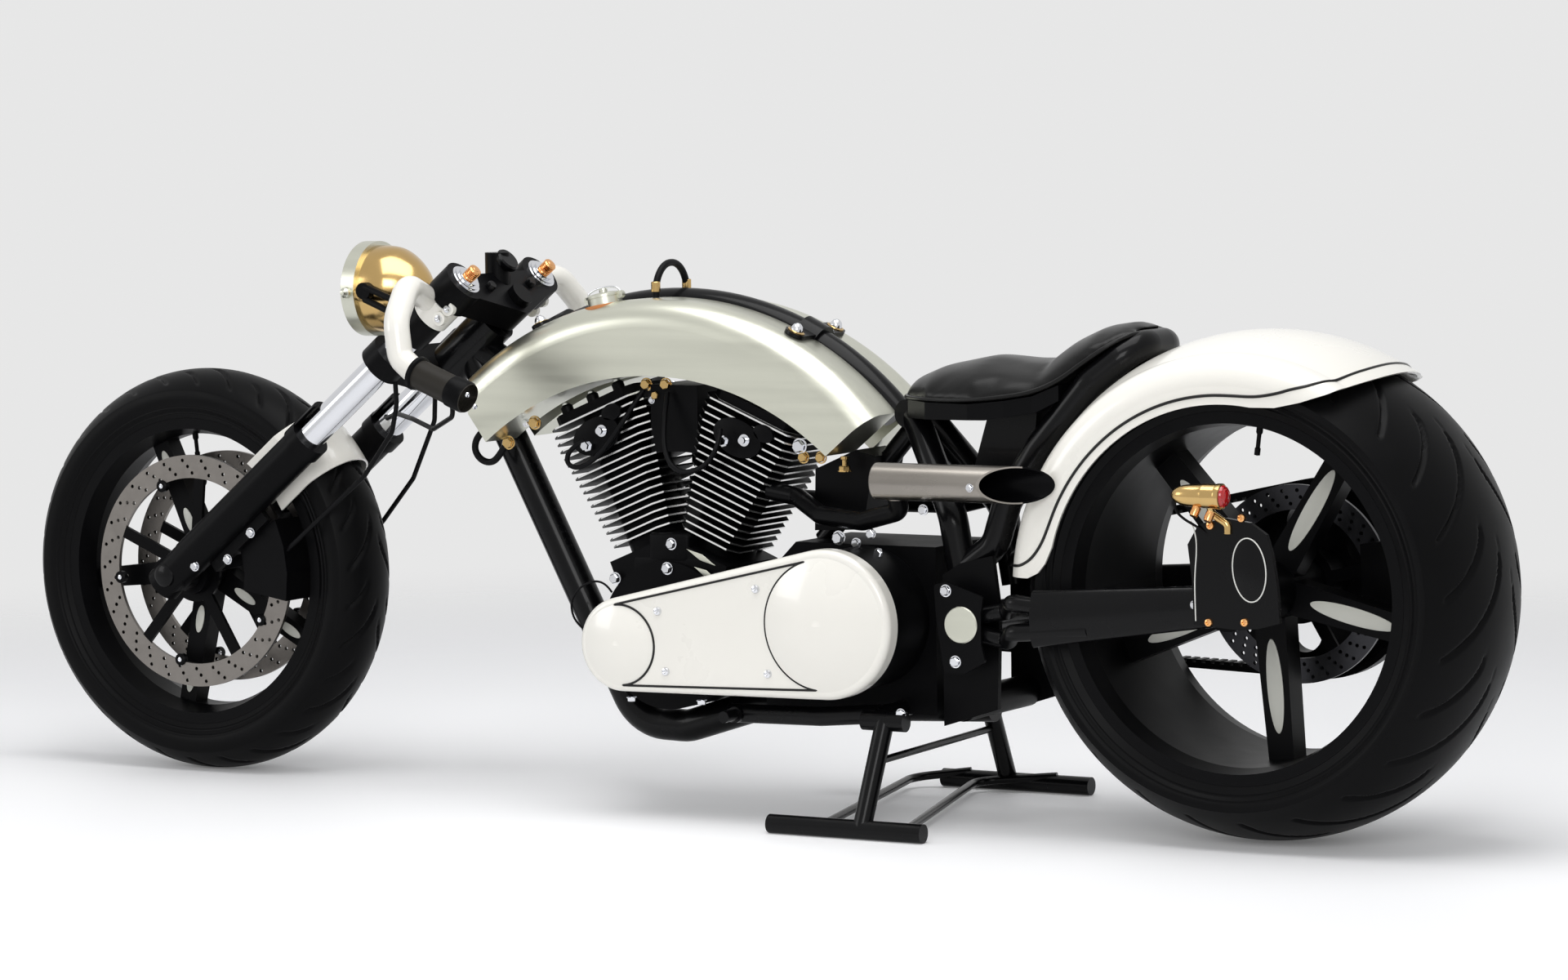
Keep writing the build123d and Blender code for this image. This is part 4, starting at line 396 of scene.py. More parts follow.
# %% Drilled discs
def disc_material(name, axle, color, rows, count, hole, carrier):
    """Ground steel that is open in rows of round holes about an axle, on a black carrier."""
    material = finish(name, color, 0.36, metallic=1.0, mottle=0.12, mottle_size=0.02, bump=0.00002,
                      bump_size=0.0008, uneven=0.08)
    tree = material.node_tree
    place = split(tree, object_place(tree))
    x = math_node(tree, "SUBTRACT", place["X"], axle.x)
    z = math_node(tree, "SUBTRACT", place["Z"], axle.z)
    squared = math_node(tree, "ADD", math_node(tree, "POWER", x, 2.0), math_node(tree, "POWER", z, 2.0))
    radius = math_node(tree, "SQRT", squared)
    turns = math_node(tree, "DIVIDE", math_node(tree, "ARCTAN2", z, x), 2 * pi / count)
    nearest = 1.0
    for row, row_radius in enumerate(rows):
        phase = math_node(tree, "FRACT", math_node(tree, "ADD", turns, count + row / (len(rows) + 1)))
        along = math_node(tree, "MULTIPLY", math_node(tree, "SUBTRACT", phase, 0.5), 2 * pi * row_radius / count)
        outward = math_node(tree, "SUBTRACT", radius, row_radius)
        squared = math_node(tree, "ADD", math_node(tree, "POWER", along, 2.0), math_node(tree, "POWER", outward, 2.0))
        nearest = math_node(tree, "MINIMUM", math_node(tree, "SQRT", squared), nearest)
    bare_metal(material, smooth_step(tree, radius, carrier - 0.0005, carrier), (*DEEP_BLACK, 1))
    clear = tree.nodes.new("ShaderNodeBsdfTransparent")
    drilled = mixed(tree, math_node(tree, "LESS_THAN", nearest, hole), tree.nodes["Principled BSDF"].outputs[0],
                    clear.outputs[0])
    tree.links.new(drilled, tree.nodes["Material Output"].inputs["Surface"])
    return material


REAR_AXLE = Vector((-0.84585, 0, 0.3332))
FRONT_AXLE = Vector((0.88115, 0, 0.2979))
disc_finish = {
    "front": disc_material("drilled front discs", FRONT_AXLE, (0.21, 0.195, 0.18), (0.1455, 0.155, 0.1645), 30,
                           0.0027, 0.138),
    "rear": disc_material("drilled rear disc", REAR_AXLE, (0.05, 0.05, 0.055), (0.108, 0.117, 0.126), 36,
                          0.0026, 0.100),
}
print("disc finishes", list(disc_finish))

# %% [markdown]
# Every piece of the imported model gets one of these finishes. The lens is glass that lets light through, and the
# tail lamp is a deep red glass.

# %% Finishes on the pieces
lamp_glass = finish("lamp glass", (0.9, 0.92, 0.92), 0.06, mottle=0.02, uneven=0.02, specular=0.6)
lamp_glass.node_tree.nodes["Principled BSDF"].inputs["Transmission Weight"].default_value = 0.85
dark_red = finish("red lens", (0.45, 0.01, 0.012), 0.12, mottle=0.1, mottle_size=0.004, uneven=0.03, coat=0.5)

node_finish = {
    black_gloss: ["spine_tube", "down_tube", "rear_frame", "swingarm", "oil_tank", "axle_plates", "stand",
                  "foot_controls",
                  "tank_clamps"],
    black_satin: ["rear_rim", "front_rim", "rear_pulley", "front_pulley", "pivot_plates", "seat_pan", "fork_legs",
                  "triple_clamps", "front_calipers", "rear_caliper", "headlight_bracket", "ignition_box",
                  "air_cleaner"],
    black_wrinkle: ["crankcase", "gearbox", "primary_case"],
    fin_finish["front"]: ["cylinder_front"],
    fin_finish["rear"]: ["cylinder_rear"],
    white_paint: ["rear_fender", "front_fender", "primary_cover", "handlebars"],
    raw_metal: ["tank_left", "tank_right", "headlight_rim"],
    polished_steel: ["fork_tubes", "rear_axle", "front_axle", "filler_cap", "fork_caps"],
    pipe_steel: ["exhaust_left", "exhaust_right"],
    disc_finish["rear"]: ["rear_disc"],
    disc_finish["front"]: ["front_discs"],
    brass: ["headlight", "tail_light"],
    tyre_rubber: ["rear_tyre", "front_tyre"],
    belt_rubber: ["drive_belt", "breather_hose", "brake_lines"],
    grip_rubber: ["grips"],
    black_leather: ["seat"],
    lamp_glass: ["headlight_lens"],
}
for material, names in node_finish.items():
    for name in names:
        node = nodes[name]
        node.data.materials.clear()
        node.data.materials.append(material)
print("finishes", len(node_finish), "on", sum(len(names) for names in node_finish.values()), "nodes")

# %% [markdown]
# Most small parts of a motorcycle are turned on a lathe or cut from plate. One helper spins a profile of radius and
# height about any axis, and a bolt or a screw is such a profile. Others thicken an oval, round a block's edges,
# lay a cable along a few points, or make one piece of a whole set of bolts.

# %% Helpers for pieces
def mm(x, y, z):
    """A point given in millimetres, as the drawings of the machine are."""
    return Vector((x, y, z)) / 1000


def make_piece(name, bm, material, body, slot, angle=35):
    """Turns a bmesh into a smooth-shaded object that rides on a body."""
    bmesh.ops.remove_doubles(bm, verts=bm.verts, dist=1e-6)
    bmesh.ops.recalc_face_normals(bm, faces=bm.faces)
    mesh = bpy.data.meshes.new(name)
    bm.to_mesh(mesh)
    bm.free()
    mesh.shade_smooth()
    mesh.set_sharp_from_angle(angle=radians(angle))
    mesh.materials.append(material)
    piece = bpy.data.objects.new(name, mesh)
    bpy.context.scene.collection.objects.link(piece)
    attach(piece, body)
    return piece


def turn(bm, profile, foot, axis, steps=24):
    """Spins a profile of radius and height pairs, in metres, about an axis that starts at the foot."""
    axis = Vector(axis).normalized()
    side = axis.orthogonal().normalized()
    verts = [bm.verts.new(Vector(foot) + side * radius + axis * height) for radius, height in profile]
    edges = [bm.edges.new(pair) for pair in zip(verts, verts[1:])]
    bmesh.ops.spin(bm, geom=verts + edges, cent=foot, axis=axis, angle=2 * pi, steps=steps, use_merge=True)


def button_screw(bm, at, axis, radius):
    """A round-headed screw with a socket."""
    shape = ((0, 0.3), (0.4, 0.3), (0.42, 0.62), (0.8, 0.5), (1, 0.12), (1, -0.1))
    turn(bm, [(out * radius, up * radius) for out, up in shape], at, axis, 16)


def hex_bolt(bm, at, axis, radius):
    """A hexagon head on a round washer."""
    turn(bm, [(1.25 * radius, 0), (1.25 * radius, 0.2 * radius), (radius, 0.22 * radius)], at, axis, 18)
    turn(bm, [(radius, 0.2 * radius), (radius, 0.85 * radius), (0.86 * radius, radius), (0, radius)], at, axis, 6)


LEFT, UP, DOWN, BACK = (0, 1, 0), (0, 0, 1), (0, 0, -1), (-1, 0, 0)
SIDES = (1, -1)
# Finish, body and slot of the most common small parts
STEEL = (polished_steel, "frame", "bright_steel")
FORK_STEEL = (polished_steel, "steering", "bright_steel")
BRASS = (brass, "frame", "brass_trim")
CORD = (belt_rubber, "frame", "belt_rubber")


def bolt_set(name, kind, rows, material, body, slot):
    """One piece from many bolts: rows of place, axis and radius."""
    bm = bmesh.new()
    for at, axis, radius in rows:
        kind(bm, at, axis, radius)
    return make_piece(name, bm, material, body, slot)


def turned_set(name, rows, material, body, slot):
    """One piece from several turned bits: rows of profile, foot, axis and steps."""
    bm = bmesh.new()
    for row in rows:
        turn(bm, *row)
    return make_piece(name, bm, material, body, slot)


def side_way(angle):
    """The direction at an angle in the side view, from forward to up."""
    return Vector((cos(radians(angle)), 0, sin(radians(angle))))


def oval_plate(bm, centre, long_way, cross_way, thick, edge, segments=40):
    """An oval plate: two half-size vectors span it, and it thickens along their cross product."""
    out = long_way.cross(cross_way).normalized()
    lay = Matrix((
        (long_way.x, cross_way.x, out.x, centre.x),
        (long_way.y, cross_way.y, out.y, centre.y),
        (long_way.z, cross_way.z, out.z, centre.z),
        (0, 0, 0, 1),
    ))
    made = bmesh.ops.create_circle(bm, cap_ends=True, radius=1, segments=segments, matrix=lay)
    face = made["verts"][0].link_faces[0]
    lifted = bmesh.ops.extrude_face_region(bm, geom=[face], use_keep_orig=True)
    top = [item for item in lifted["geom"] if isinstance(item, bmesh.types.BMFace)]
    corners = [item for item in lifted["geom"] if isinstance(item, bmesh.types.BMVert)]
    bmesh.ops.translate(bm, verts=corners, vec=out * thick)
    bmesh.ops.bevel(bm, geom=list(top[0].edges), offset=edge, segments=2, profile=0.5, affect="EDGES", material=-1)


def block(bm, low, high, edge):
    """A block between two corners, in millimetres, with rounded edges."""
    size = Vector(high) - Vector(low)
    middle = (Vector(high) + Vector(low)) / 2
    made = bmesh.ops.create_cube(bm, size=1)
    bmesh.ops.scale(bm, vec=size / 1000, verts=made["verts"])
    bmesh.ops.translate(bm, vec=middle / 1000, verts=made["verts"])
    edges = list({item for corner in made["verts"] for item in corner.link_edges})
    bmesh.ops.bevel(bm, geom=edges, offset=edge / 1000, segments=3, profile=0.5, affect="EDGES", material=-1)


def cable(name, points, radius, material, body, slot, closed=False):
    """A round cable or line through points in millimetres."""
    curve = bpy.data.curves.new(name, "CURVE")
    curve.dimensions = "3D"
    curve.bevel_depth = radius / 1000
    curve.bevel_resolution = 3
    curve.use_fill_caps = True
    spline = curve.splines.new("NURBS")
    spline.points.add(len(points) - 1)
    for control, point in zip(spline.points, points):
        control.co = (*mm(*point), 1)
    spline.order_u = 3
    spline.use_endpoint_u = not closed
    spline.use_cyclic_u = closed
    spline.resolution_u = 8
    curve.materials.append(material)
    piece = bpy.data.objects.new(name, curve)
    bpy.context.scene.collection.objects.link(piece)
    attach(piece, body)
    return piece


print("piece helpers ready")

# %% [markdown]
# A road tyre's grooves are swept curves: each starts along the middle of the tread and turns outward to the
# shoulder, and long and short ones take turns. The tyre here is spun from its section in a fine grid, and each
# point then sinks by how near it lies to the closest groove.

# %% Tyres with swept grooves
def soft(value, low, high):
    """Rises smoothly from 0 to 1 between two limits."""
    share = min(1.0, max(0.0, (value - low) / (high - low)))
    return share * share * (3 - 2 * share)


def groove_depth(angle, radius, y, grooves):
    """How far the tread sinks at a point: the deepest of all the groove families there."""
    deepest = 0.0
    for side, count, phase, inner, outer, sweep, bend, wide, deep in grooves:
        away = y * side
        if not inner - 2 < away < outer:
            continue
        share = min(1.0, max(0.0, (away - inner) / (outer - inner)))
        along = share ** (1 / bend)
        pitch = 2 * pi / count
        middle = radians(phase) - radians(sweep) * (1 - along)
        offset = ((angle - middle + pitch / 2) % pitch - pitch / 2) * radius
        slope = max(0.35, (outer - inner) * bend * max(along, 0.02) ** (bend - 1) / (radians(sweep) * radius))
        distance = abs(offset) * slope / sqrt(1 + slope * slope)
        ends = soft(away, inner - 2, inner + 5) * (1 - soft(away, outer - 8, outer))
        deepest = max(deepest, deep * ends * (1 - soft(distance, wide / 2 - 1.4, wide / 2 + 1.0)))
    return deepest


def treaded_tyre(name, node, body, axle, section, around, across, grooves, ribs):
    """A tyre spun from its section, in millimetres, with grooves pressed into the tread."""
    crown, half, lip, lip_half, shoulder_share = section
    sag = shoulder_share * (crown - lip)
    arc = (half * half + sag * sag) / (2 * sag)
    reach = asin(half / arc)
    tread = [(crown - arc * (1 - cos(reach * (2 * i / across - 1))), arc * sin(reach * (2 * i / across - 1)))
             for i in range(across + 1)]
    bulge = lip + 0.3 * (crown - lip)
    wall = [(bulge, half)]
    for rib in ribs:
        out = lip_half + (half - lip_half) * (rib - lip) / (bulge - lip)
        wall += [(rib + 2, out + 0.6), (rib + 1, out - 0.5), (rib - 1, out - 0.5), (rib - 2, out + 0.3)]
    wall += [(lip + 0.3, lip_half), (lip + 0.3, lip_half - 8.3), (lip - 13.8, lip_half - 8.3)]
    profile = [(r, -y) for r, y in reversed(wall)] + tread + wall
    bm = bmesh.new()
    verts = [bm.verts.new(axle + mm(r, y, 0)) for r, y in profile]
    edges = [bm.edges.new(pair) for pair in zip(verts, verts[1:] + verts[:1])]
    bmesh.ops.spin(bm, geom=verts + edges, cent=axle, axis=(0, -1, 0), angle=2 * pi, steps=around, use_merge=True)
    shoulder = (crown - sag) / 1000
    for vert in bm.verts:
        out = vert.co - axle
        radius = sqrt(out.x * out.x + out.z * out.z)
        if radius < shoulder + 1e-5:
            continue
        depth = groove_depth(atan2(out.z, out.x), radius * 1000, out.y * 1000, grooves) / 1000
        vert.co -= Vector((out.x, 0, out.z)) / radius * depth
    piece = make_piece(name, bm, tyre_rubber, body, "tyre_rubber", 50)
    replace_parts(piece, node)
    return piece


# Groove families: side, how many, first angle, inner and outer distance from the middle, sweep angle, bend,
# width and depth
rear_grooves = [
    (1, 12, 44, 14, 124, 27, 1.8, 6.5, 4.5), (1, 12, 59, 46, 126, 17, 1.6, 6.5, 4.5),
    (-1, 12, 52, 14, 124, 27, 1.8, 6.5, 4.5), (-1, 12, 67, 46, 126, 17, 1.6, 6.5, 4.5),
]
front_grooves = [
    (1, 15, 10, 5, 54, 15, 1.5, 5.5, 3.5), (1, 15, 22, 24, 56, 9, 1.4, 5.0, 3.0),
    (-1, 15, 16, 5, 54, 15, 1.5, 5.5, 3.5), (-1, 15, 28, 24, 56, 9, 1.4, 5.0, 3.0),
]
treaded_tyre("rear_tyre_tread", "rear_tyre", "rear_wheel", REAR_AXLE, (333.2, 148, 246, 138, 0.62), 720, 92,
             rear_grooves, (266, 258))
treaded_tyre("front_tyre_tread", "front_tyre", "front_wheel", FRONT_AXLE, (297.9, 62, 227, 52, 0.42), 600, 48,
             front_grooves, (244, 236))
print("tyres with", sum(row[1] for row in rear_grooves), "and", sum(row[1] for row in front_grooves), "grooves")

# %% [markdown]
# Each blade spoke carries a pale oval inlay, milled in and painted, on both faces. The front spokes have two, with
# the brake disc's ring between them. A short valve stem stands inside each rim.

# %% Spoke inlays and valve stems
inlay_cream = finish("cream inlay", (0.62, 0.62, 0.56), 0.34, mottle=0.04, mottle_size=0.03, bump=0.00002,
                     bump_size=0.003)
SPOKES, REAR_SPOKE, FRONT_SPOKE = 5, 49, 66
# Wheel body, axle, first spoke's angle, spoke's half depth, ovals as inner radius, outer radius and width
for wheel, axle, first, face, ovals in (
        ("rear_wheel", REAR_AXLE, REAR_SPOKE, 20.0, ((64, 190, 23),)),
        ("front_wheel", FRONT_AXLE, FRONT_SPOKE, 15.0, ((56, 98, 14), (148, 190, 14)))):
    bm = bmesh.new()
    for spoke in range(SPOKES):
        away = side_way(first + spoke * 360 / SPOKES)
        beside = Vector((-away.z, 0, away.x))
        for side in SIDES:
            for inner, outer, wide in ovals:
                centre = axle + away * (inner + outer) / 2000 + mm(0, side * (face - 0.2), 0)
                oval_plate(bm, centre, away * (outer - inner) / 2000, beside * -side * wide / 2000, 0.0012, 0.0005)
    make_piece(wheel + "_inlays", bm, inlay_cream, wheel, "cream_paint")

STEM = [(0.0045, -0.002), (0.0045, 0.006), (0.003, 0.009), (0.003, 0.026), (0.004, 0.027), (0.004, 0.036),
        (0, 0.037)]
for end, axle, angle, barrel, y in (("rear", REAR_AXLE, 97, 225, 98), ("front", FRONT_AXLE, 84, 202, 10)):
    inward = -side_way(angle)
    turned_set("valve_stem_" + end, [(STEM, axle - inward * (barrel / 1000 - 0.001) + mm(0, y, 0), inward, 12)],
               black_satin, end + "_wheel", "black_alloy")

# Bobbins hold the front discs on their carriers, each with a screw through it
BOBBIN = [(0.009, -0.006), (0.009, 0.002), (0.007, 0.0035), (0.0045, 0.0035), (0.0045, 0.0005)]
BOBBIN_R, BOBBIN_Y, BOBBIN_SCREW_Y = 0.136, 49, 50.2
arms = [(side, side_way(FRONT_SPOKE + spoke * 360 / SPOKES) * BOBBIN_R) for side in SIDES for spoke in range(SPOKES)]
turned_set("disc_bobbins",
           [(BOBBIN, FRONT_AXLE + out + mm(0, side * BOBBIN_Y, 0), (0, side, 0), 18) for side, out in arms],
           black_satin, "front_wheel", "black_alloy")
bolt_set("bobbin_screws", button_screw,
         [(FRONT_AXLE + out + mm(0, side * BOBBIN_SCREW_Y, 0), (0, side, 0), 0.0042) for side, out in arms],
         polished_steel, "front_wheel", "bright_steel")
print("inlays, valve stems and disc bobbins made")

# %% [markdown]
# On the engine's left side each cylinder head has a deep oval well for the spark plug. Plug leads run from the
# wells to the coil between the cylinders. Small bare plates, case screws and a web between the two
# cylinders fill the space above the primary drive.

# %% Engine details
def along_cylinder(lean, across, y, up):
    """A point by its place on a leaning cylinder: forward of its axis, left of the middle, above the crankshaft."""
    s, c = sin(radians(lean)), cos(radians(lean))
    return CRANK + mm(across * c + up * s, y, up * c - across * s)


HEAD_NUTS = (-46, 0, 46)
for label, lean in (("front", LEAN), ("rear", -LEAN)):
    s, c = sin(radians(lean)), cos(radians(lean))
    ahead, upward = Vector((c, 0, -s)), Vector((s, 0, c))
    bm = bmesh.new()
    oval_plate(bm, along_cylinder(lean, 4, 60, 300), ahead * -0.040, upward * 0.026, 0.006, 0.002)
    oval_plate(bm, along_cylinder(lean, -32, 60, 322), ahead * -0.017, upward * 0.012, 0.006, 0.002)
    for across in HEAD_NUTS:
        turn(bm, [(0.009, -0.004), (0.009, 0.010), (0.006, 0.013), (0, 0.013)],
             along_cylinder(lean, across, 44, 349), upward, 16)
    make_piece("plug_well_" + label, bm, black_satin, "frame", "engine_black")
    bm = bmesh.new()
    turn(bm, [(0.0, 0.020), (0.006, 0.020), (0.006, 0.012), (0.0085, 0.012), (0.0085, -0.001)],
         along_cylinder(lean, 16, 66, 291), LEFT, 6)
    turn(bm, [(0.0, 0.012), (0.005, 0.012), (0.0055, 0.004), (0.0085, 0.004), (0.0085, -0.001)],
         along_cylinder(lean, -10, 66, 303), LEFT, 18)
    for across in HEAD_NUTS:
        button_screw(bm, along_cylinder(lean, across, 44, 361.6), upward, 0.006)
    make_piece("plugs_" + label, bm, *STEEL)

cable("plug_lead_front", [(177, 82, 511), (196, 90, 500), (206, 84, 478), (188, 78, 470), (150, 80, 492),
                          (112, 70, 548), (96, 50, 584)], 3.6, *CORD)
cable("plug_lead_rear", [(-46, 82, 532), (-52, 96, 512), (-30, 98, 480), (10, 96, 470), (36, 92, 488),
                         (48, 80, 530), (54, 56, 580)], 3.6, *CORD)
cable("sensor_wire", [(137, 78, 298), (146, 84, 316), (180, 86, 310), (206, 82, 282), (200, 72, 246),
                      (176, 60, 232)], 1.6, *CORD)

bm = bmesh.new()
block(bm, (-14, -58, 322), (106, 72, 352), 6)
block(bm, (14, -58, 340), (80, 72, 384), 6)
make_piece("crankcase_web", bm, black_wrinkle, "frame", "engine_black")
bolt_set("crankcase_bolts", hex_bolt,
         [(mm(41.3, 72, 369.4), LEFT, 0.0068), (mm(130.4, 78, 318.2), LEFT, 0.0072),
          (mm(45.6, 77, 335.4), LEFT, 0.0072)], *STEEL)
bm = bmesh.new()
lean_way = Vector((-0.905, 0, -0.425))
for centre, half in ((mm(-6, 71, 352), 0.027), (mm(-16, 77.5, 331), 0.020)):
    oval_plate(bm, centre, lean_way * half, lean_way.cross(Vector(LEFT)) * -0.0045, 0.0012, 0.0004, 4)
make_piece("bare_plates", bm, raw_metal, "frame", "raw_metal")
print("engine details made")

# %% [markdown]
# Pinstripes are painted by hand with a soft brush on the finished paint, so they follow every edge at an even
# distance. Here each is a fine black line laid along points of the drawing, and on the curved fender every point is
# first moved to the nearest place on the paint.

# %% Pinstripes
def on_surface(node, points):
    """Moves points in millimetres to the nearest place on a node's surface."""
    probe = bmesh.new()
    probe.from_mesh(nodes[node].data)
    tree = BVHTree.FromBMesh(probe)
    probe.free()
    return [tuple(tree.find_nearest(mm(*point))[0] * 1000) for point in points]


def arc_points(x, z, y, radius, first, last, count):
    """Points along an arc in the side view, between two angles counted from forward to up."""
    steps = [radians(first + (last - first) * i / count) for i in range(count + 1)]
    return [(x + radius * cos(a), y, z + radius * sin(a)) for a in steps]


line_black = finish("line black", (0.004, 0.004, 0.004), 0.3, mottle=0.05, specular=0.3)
primary_line = arc_points(-273, 281.5, 204, 89, 75, -86, 40) + arc_points(48.5, 241, 204, 56, 268, 80, 32)
cable("primary_line", primary_line, 1.7, line_black, "frame", "black_alloy", closed=True)

bolt_set("primary_screws", button_screw,
         [(mm(x, 204, z), LEFT, 0.0062) for x, z in ((-14.4, 290.3), (-170.4, 326.8), (-26, 207.5), (-187.8, 211.7))],
         *STEEL)

# Distance from the axle and from the middle of points that lie a little outside the paint
FENDER_SECTION = ((250, 166), (282, 166), (314, 156), (331, 126), (344, 86), (352, 45), (356, 0))
TAIL_LINE = ((268, 92), (270, 99), (274, 102), (279, 104.5), (286, 107), (294, 109), (302, 111.2), (311, 113),
             (318, 114.4), (325, 115.8), (331, 116.8), (337, 117.4), (344, 118), (349, 118.6), (353, 118.9), (356, 119))
NOSE_LINE = ((318, 6.2), (309, 6.4), (298, 7.0), (287, 8.4), (281, 9.6), (277, 11.2), (273, 13.2), (270, 15.6),
             (268, 21))
SIDE_RADIUS, SIDE_FIRST, SIDE_LAST, SIDE_STEPS = 268, 21, 88, 30


def fender_point(radius, angle, side):
    """A point of the fender's outside by its distance from the axle and its angle."""
    for (low, low_y), (high, high_y) in zip(FENDER_SECTION, FENDER_SECTION[1:]):
        if low <= radius <= high:
            y = low_y + (high_y - low_y) * (radius - low) / (high - low)
            a = radians(angle)
            return (REAR_AXLE.x * 1000 + radius * cos(a), side * y, REAR_AXLE.z * 1000 + radius * sin(a))


half_line = [fender_point(r, a, 1) for r, a in NOSE_LINE]
half_line += [fender_point(SIDE_RADIUS, SIDE_FIRST + (SIDE_LAST - SIDE_FIRST) * i / SIDE_STEPS, 1)
              for i in range(1, SIDE_STEPS + 1)]
half_line += [fender_point(r, a, 1) for r, a in TAIL_LINE]
fender_line = half_line + [(x, -y, z) for x, y, z in reversed(half_line[:-1])]
cable("fender_line", on_surface("rear_fender", fender_line), 2.1, line_black, "frame", "black_alloy")
print("pinstripes on the primary cover and the fender")

# %% [markdown]
# The seat is thin foam under one piece of black leather, pulled over a pan. Leather over foam has no flat
# faces, so a copy of the block is remeshed evenly and blown up a little as cloth. Its underside stays where the
# pan holds it, and no point may move far. A piping cord closes the edge.

# %% Seat
SEAT_RISE, SEAT_VOXEL = 0.006, 0.005
CLOTH_FRAMES, LOOKS_DOWN = 20, -0.4


def upholstered(name, node, voxel, rise):
    """A cushion from a node's shape: evenly remeshed, swelled by cloth pressure and capped."""
    mesh = nodes[node].data.copy()
    bm = bmesh.new()
    bm.from_mesh(mesh)
    bmesh.ops.remove_doubles(bm, verts=bm.verts, dist=1e-5)
    bmesh.ops.recalc_face_normals(bm, faces=bm.faces)
    bm.to_mesh(mesh)
    bm.free()
    piece = bpy.data.objects.new(name, mesh)
    bpy.context.scene.collection.objects.link(piece)
    remesh = piece.modifiers.new("even skin", "REMESH")
    remesh.mode = "VOXEL"
    remesh.voxel_size = voxel
    relax = piece.modifiers.new("relax", "SMOOTH")
    relax.factor = 0.5
    relax.iterations = 6
    bpy.context.view_layer.update()
    seen = piece.evaluated_get(bpy.context.evaluated_depsgraph_get())
    skin = bpy.data.meshes.new_from_object(seen)
    piece.modifiers.clear()
    piece.data = skin
    start = [vert.co.copy() for vert in skin.vertices]
    normals = [vert.normal.copy() for vert in skin.vertices]
    held = piece.vertex_groups.new(name="held")
    held.add([i for i, normal in enumerate(normals) if normal.z < LOOKS_DOWN], 1.0, "REPLACE")
    cloth = piece.modifiers.new("leather", "CLOTH")
    cloth.settings.vertex_group_mass = "held"
    cloth.settings.quality = 6
    cloth.settings.use_pressure = True
    cloth.settings.uniform_pressure_force = 4
    cloth.settings.effector_weights.gravity = 0
    cloth.settings.tension_stiffness = 40
    cloth.point_cache.frame_start, cloth.point_cache.frame_end = 1, CLOTH_FRAMES
    for moment in range(1, CLOTH_FRAMES + 1):
        bpy.context.scene.frame_set(moment)
    swelled = piece.evaluated_get(bpy.context.evaluated_depsgraph_get())
    moved = [vert.co.copy() for vert in swelled.data.vertices]
    piece.modifiers.clear()
    bpy.context.scene.frame_set(1)
    for vert, before, after in zip(skin.vertices, start, moved):
        step = after - before
        vert.co = before + step * min(1.0, rise / max(step.length, 1e-9))
    settle = piece.modifiers.new("settle", "SMOOTH")
    settle.factor = 0.5
    settle.iterations = 14
    bpy.context.view_layer.update()
    skin = bpy.data.meshes.new_from_object(piece.evaluated_get(bpy.context.evaluated_depsgraph_get()))
    piece.modifiers.clear()
    piece.data = skin
    finer = piece.modifiers.new("finer", "SUBSURF")
    finer.levels = finer.render_levels = 1
    skin.shade_smooth()
    skin.materials.clear()
    skin.materials.append(black_leather)
    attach(piece, "frame")
    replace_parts(piece, node)
    return piece


seat_pad = upholstered("seat_pad", "seat", SEAT_VOXEL, SEAT_RISE)
# Half width and height of the seat's lower edge along its length, from the drawing
SEAT_EDGE = ((-306, 20, 581), (-327, 58, 581), (-369, 88, 581), (-443, 106, 582), (-500, 109, 588), (-542, 107, 595),
             (-577, 98, 610), (-614, 88, 638), (-650, 74, 663), (-672, 52, 674))
edge_line = list(SEAT_EDGE) + [(x, -y, z) for x, y, z in reversed(SEAT_EDGE)]
cable("seat_piping", [(x, y * 0.985, z) for x, y, z in edge_line], 3.2, black_leather, "frame", "seat_leather",
      closed=True)
print("seat pad", len(seat_pad.data.vertices), "points before its last subdivision")

# %% [markdown]
# Over the spine run a breather hose with brass ends, two clamps with domed nuts, and a filler cap that a wire bail
# holds shut over a tan leather gasket. Brass elbows and a short fuel line hang below the tank.

# %% Tank fittings
copper_brass = finish("orange brass", (0.78, 0.40, 0.16), 0.2, metallic=1.0, mottle=0.08, mottle_size=0.01,
                      bump=0.00001, bump_size=0.002, uneven=0.05)
tan_leather = finish("tan leather", (0.42, 0.15, 0.035), 0.5, mottle=0.2, mottle_size=0.006, bump=0.0001,
                     bump_size=0.001)
TANK_CENTRE = mm(59, 0, 236)


def on_tank(angle, radius, y):
    """A point by its angle and distance from the tank's centre in the side view."""
    return TANK_CENTRE + side_way(angle) * radius / 1000 + mm(0, y, 0)


CAP_ANGLE, CAP_RADIUS, CAP_Y = 78.6, 472, 56
CLAMP_ANGLES, CLAMP_RADIUS, CLAMP_Y = (65.2, 116.2), 482, 55
cap_up = side_way(CAP_ANGLE)
cap_ahead = Vector((cap_up.z, 0, -cap_up.x))
cap_foot = on_tank(CAP_ANGLE, CAP_RADIUS, CAP_Y)
turned_set("cap_gasket", [([(0.031, -0.008), (0.032, -0.001), (0.030, 0.003), (0.0, 0.0035)], cap_foot, cap_up, 40)],
           tan_leather, "frame", "seat_leather")
lid = [(0.0245, 0.0), (0.0245, 0.013), (0.0262, 0.0135), (0.0262, 0.0165), (0.0240, 0.0185), (0.012, 0.0202),
       (0.0, 0.0205)]
lug = [(0, -0.004), (0.0055, -0.004), (0.0055, 0.004), (0, 0.004)]
knob = [(0.0, 0.019), (0.006, 0.019), (0.006, 0.024), (0.004, 0.026), (0.0, 0.0265)]
cap_rows = [(lid, cap_foot, cap_up, 40)]
cap_rows += [(lug, cap_foot + cap_ahead * reach + cap_up * 0.013, LEFT, 14) for reach in (-0.027, 0.027)]
cap_rows += [(knob, cap_foot, cap_up, 18)]
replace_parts(turned_set("filler_cap_dressed", cap_rows, raw_metal, "frame", "bright_steel"), "filler_cap")
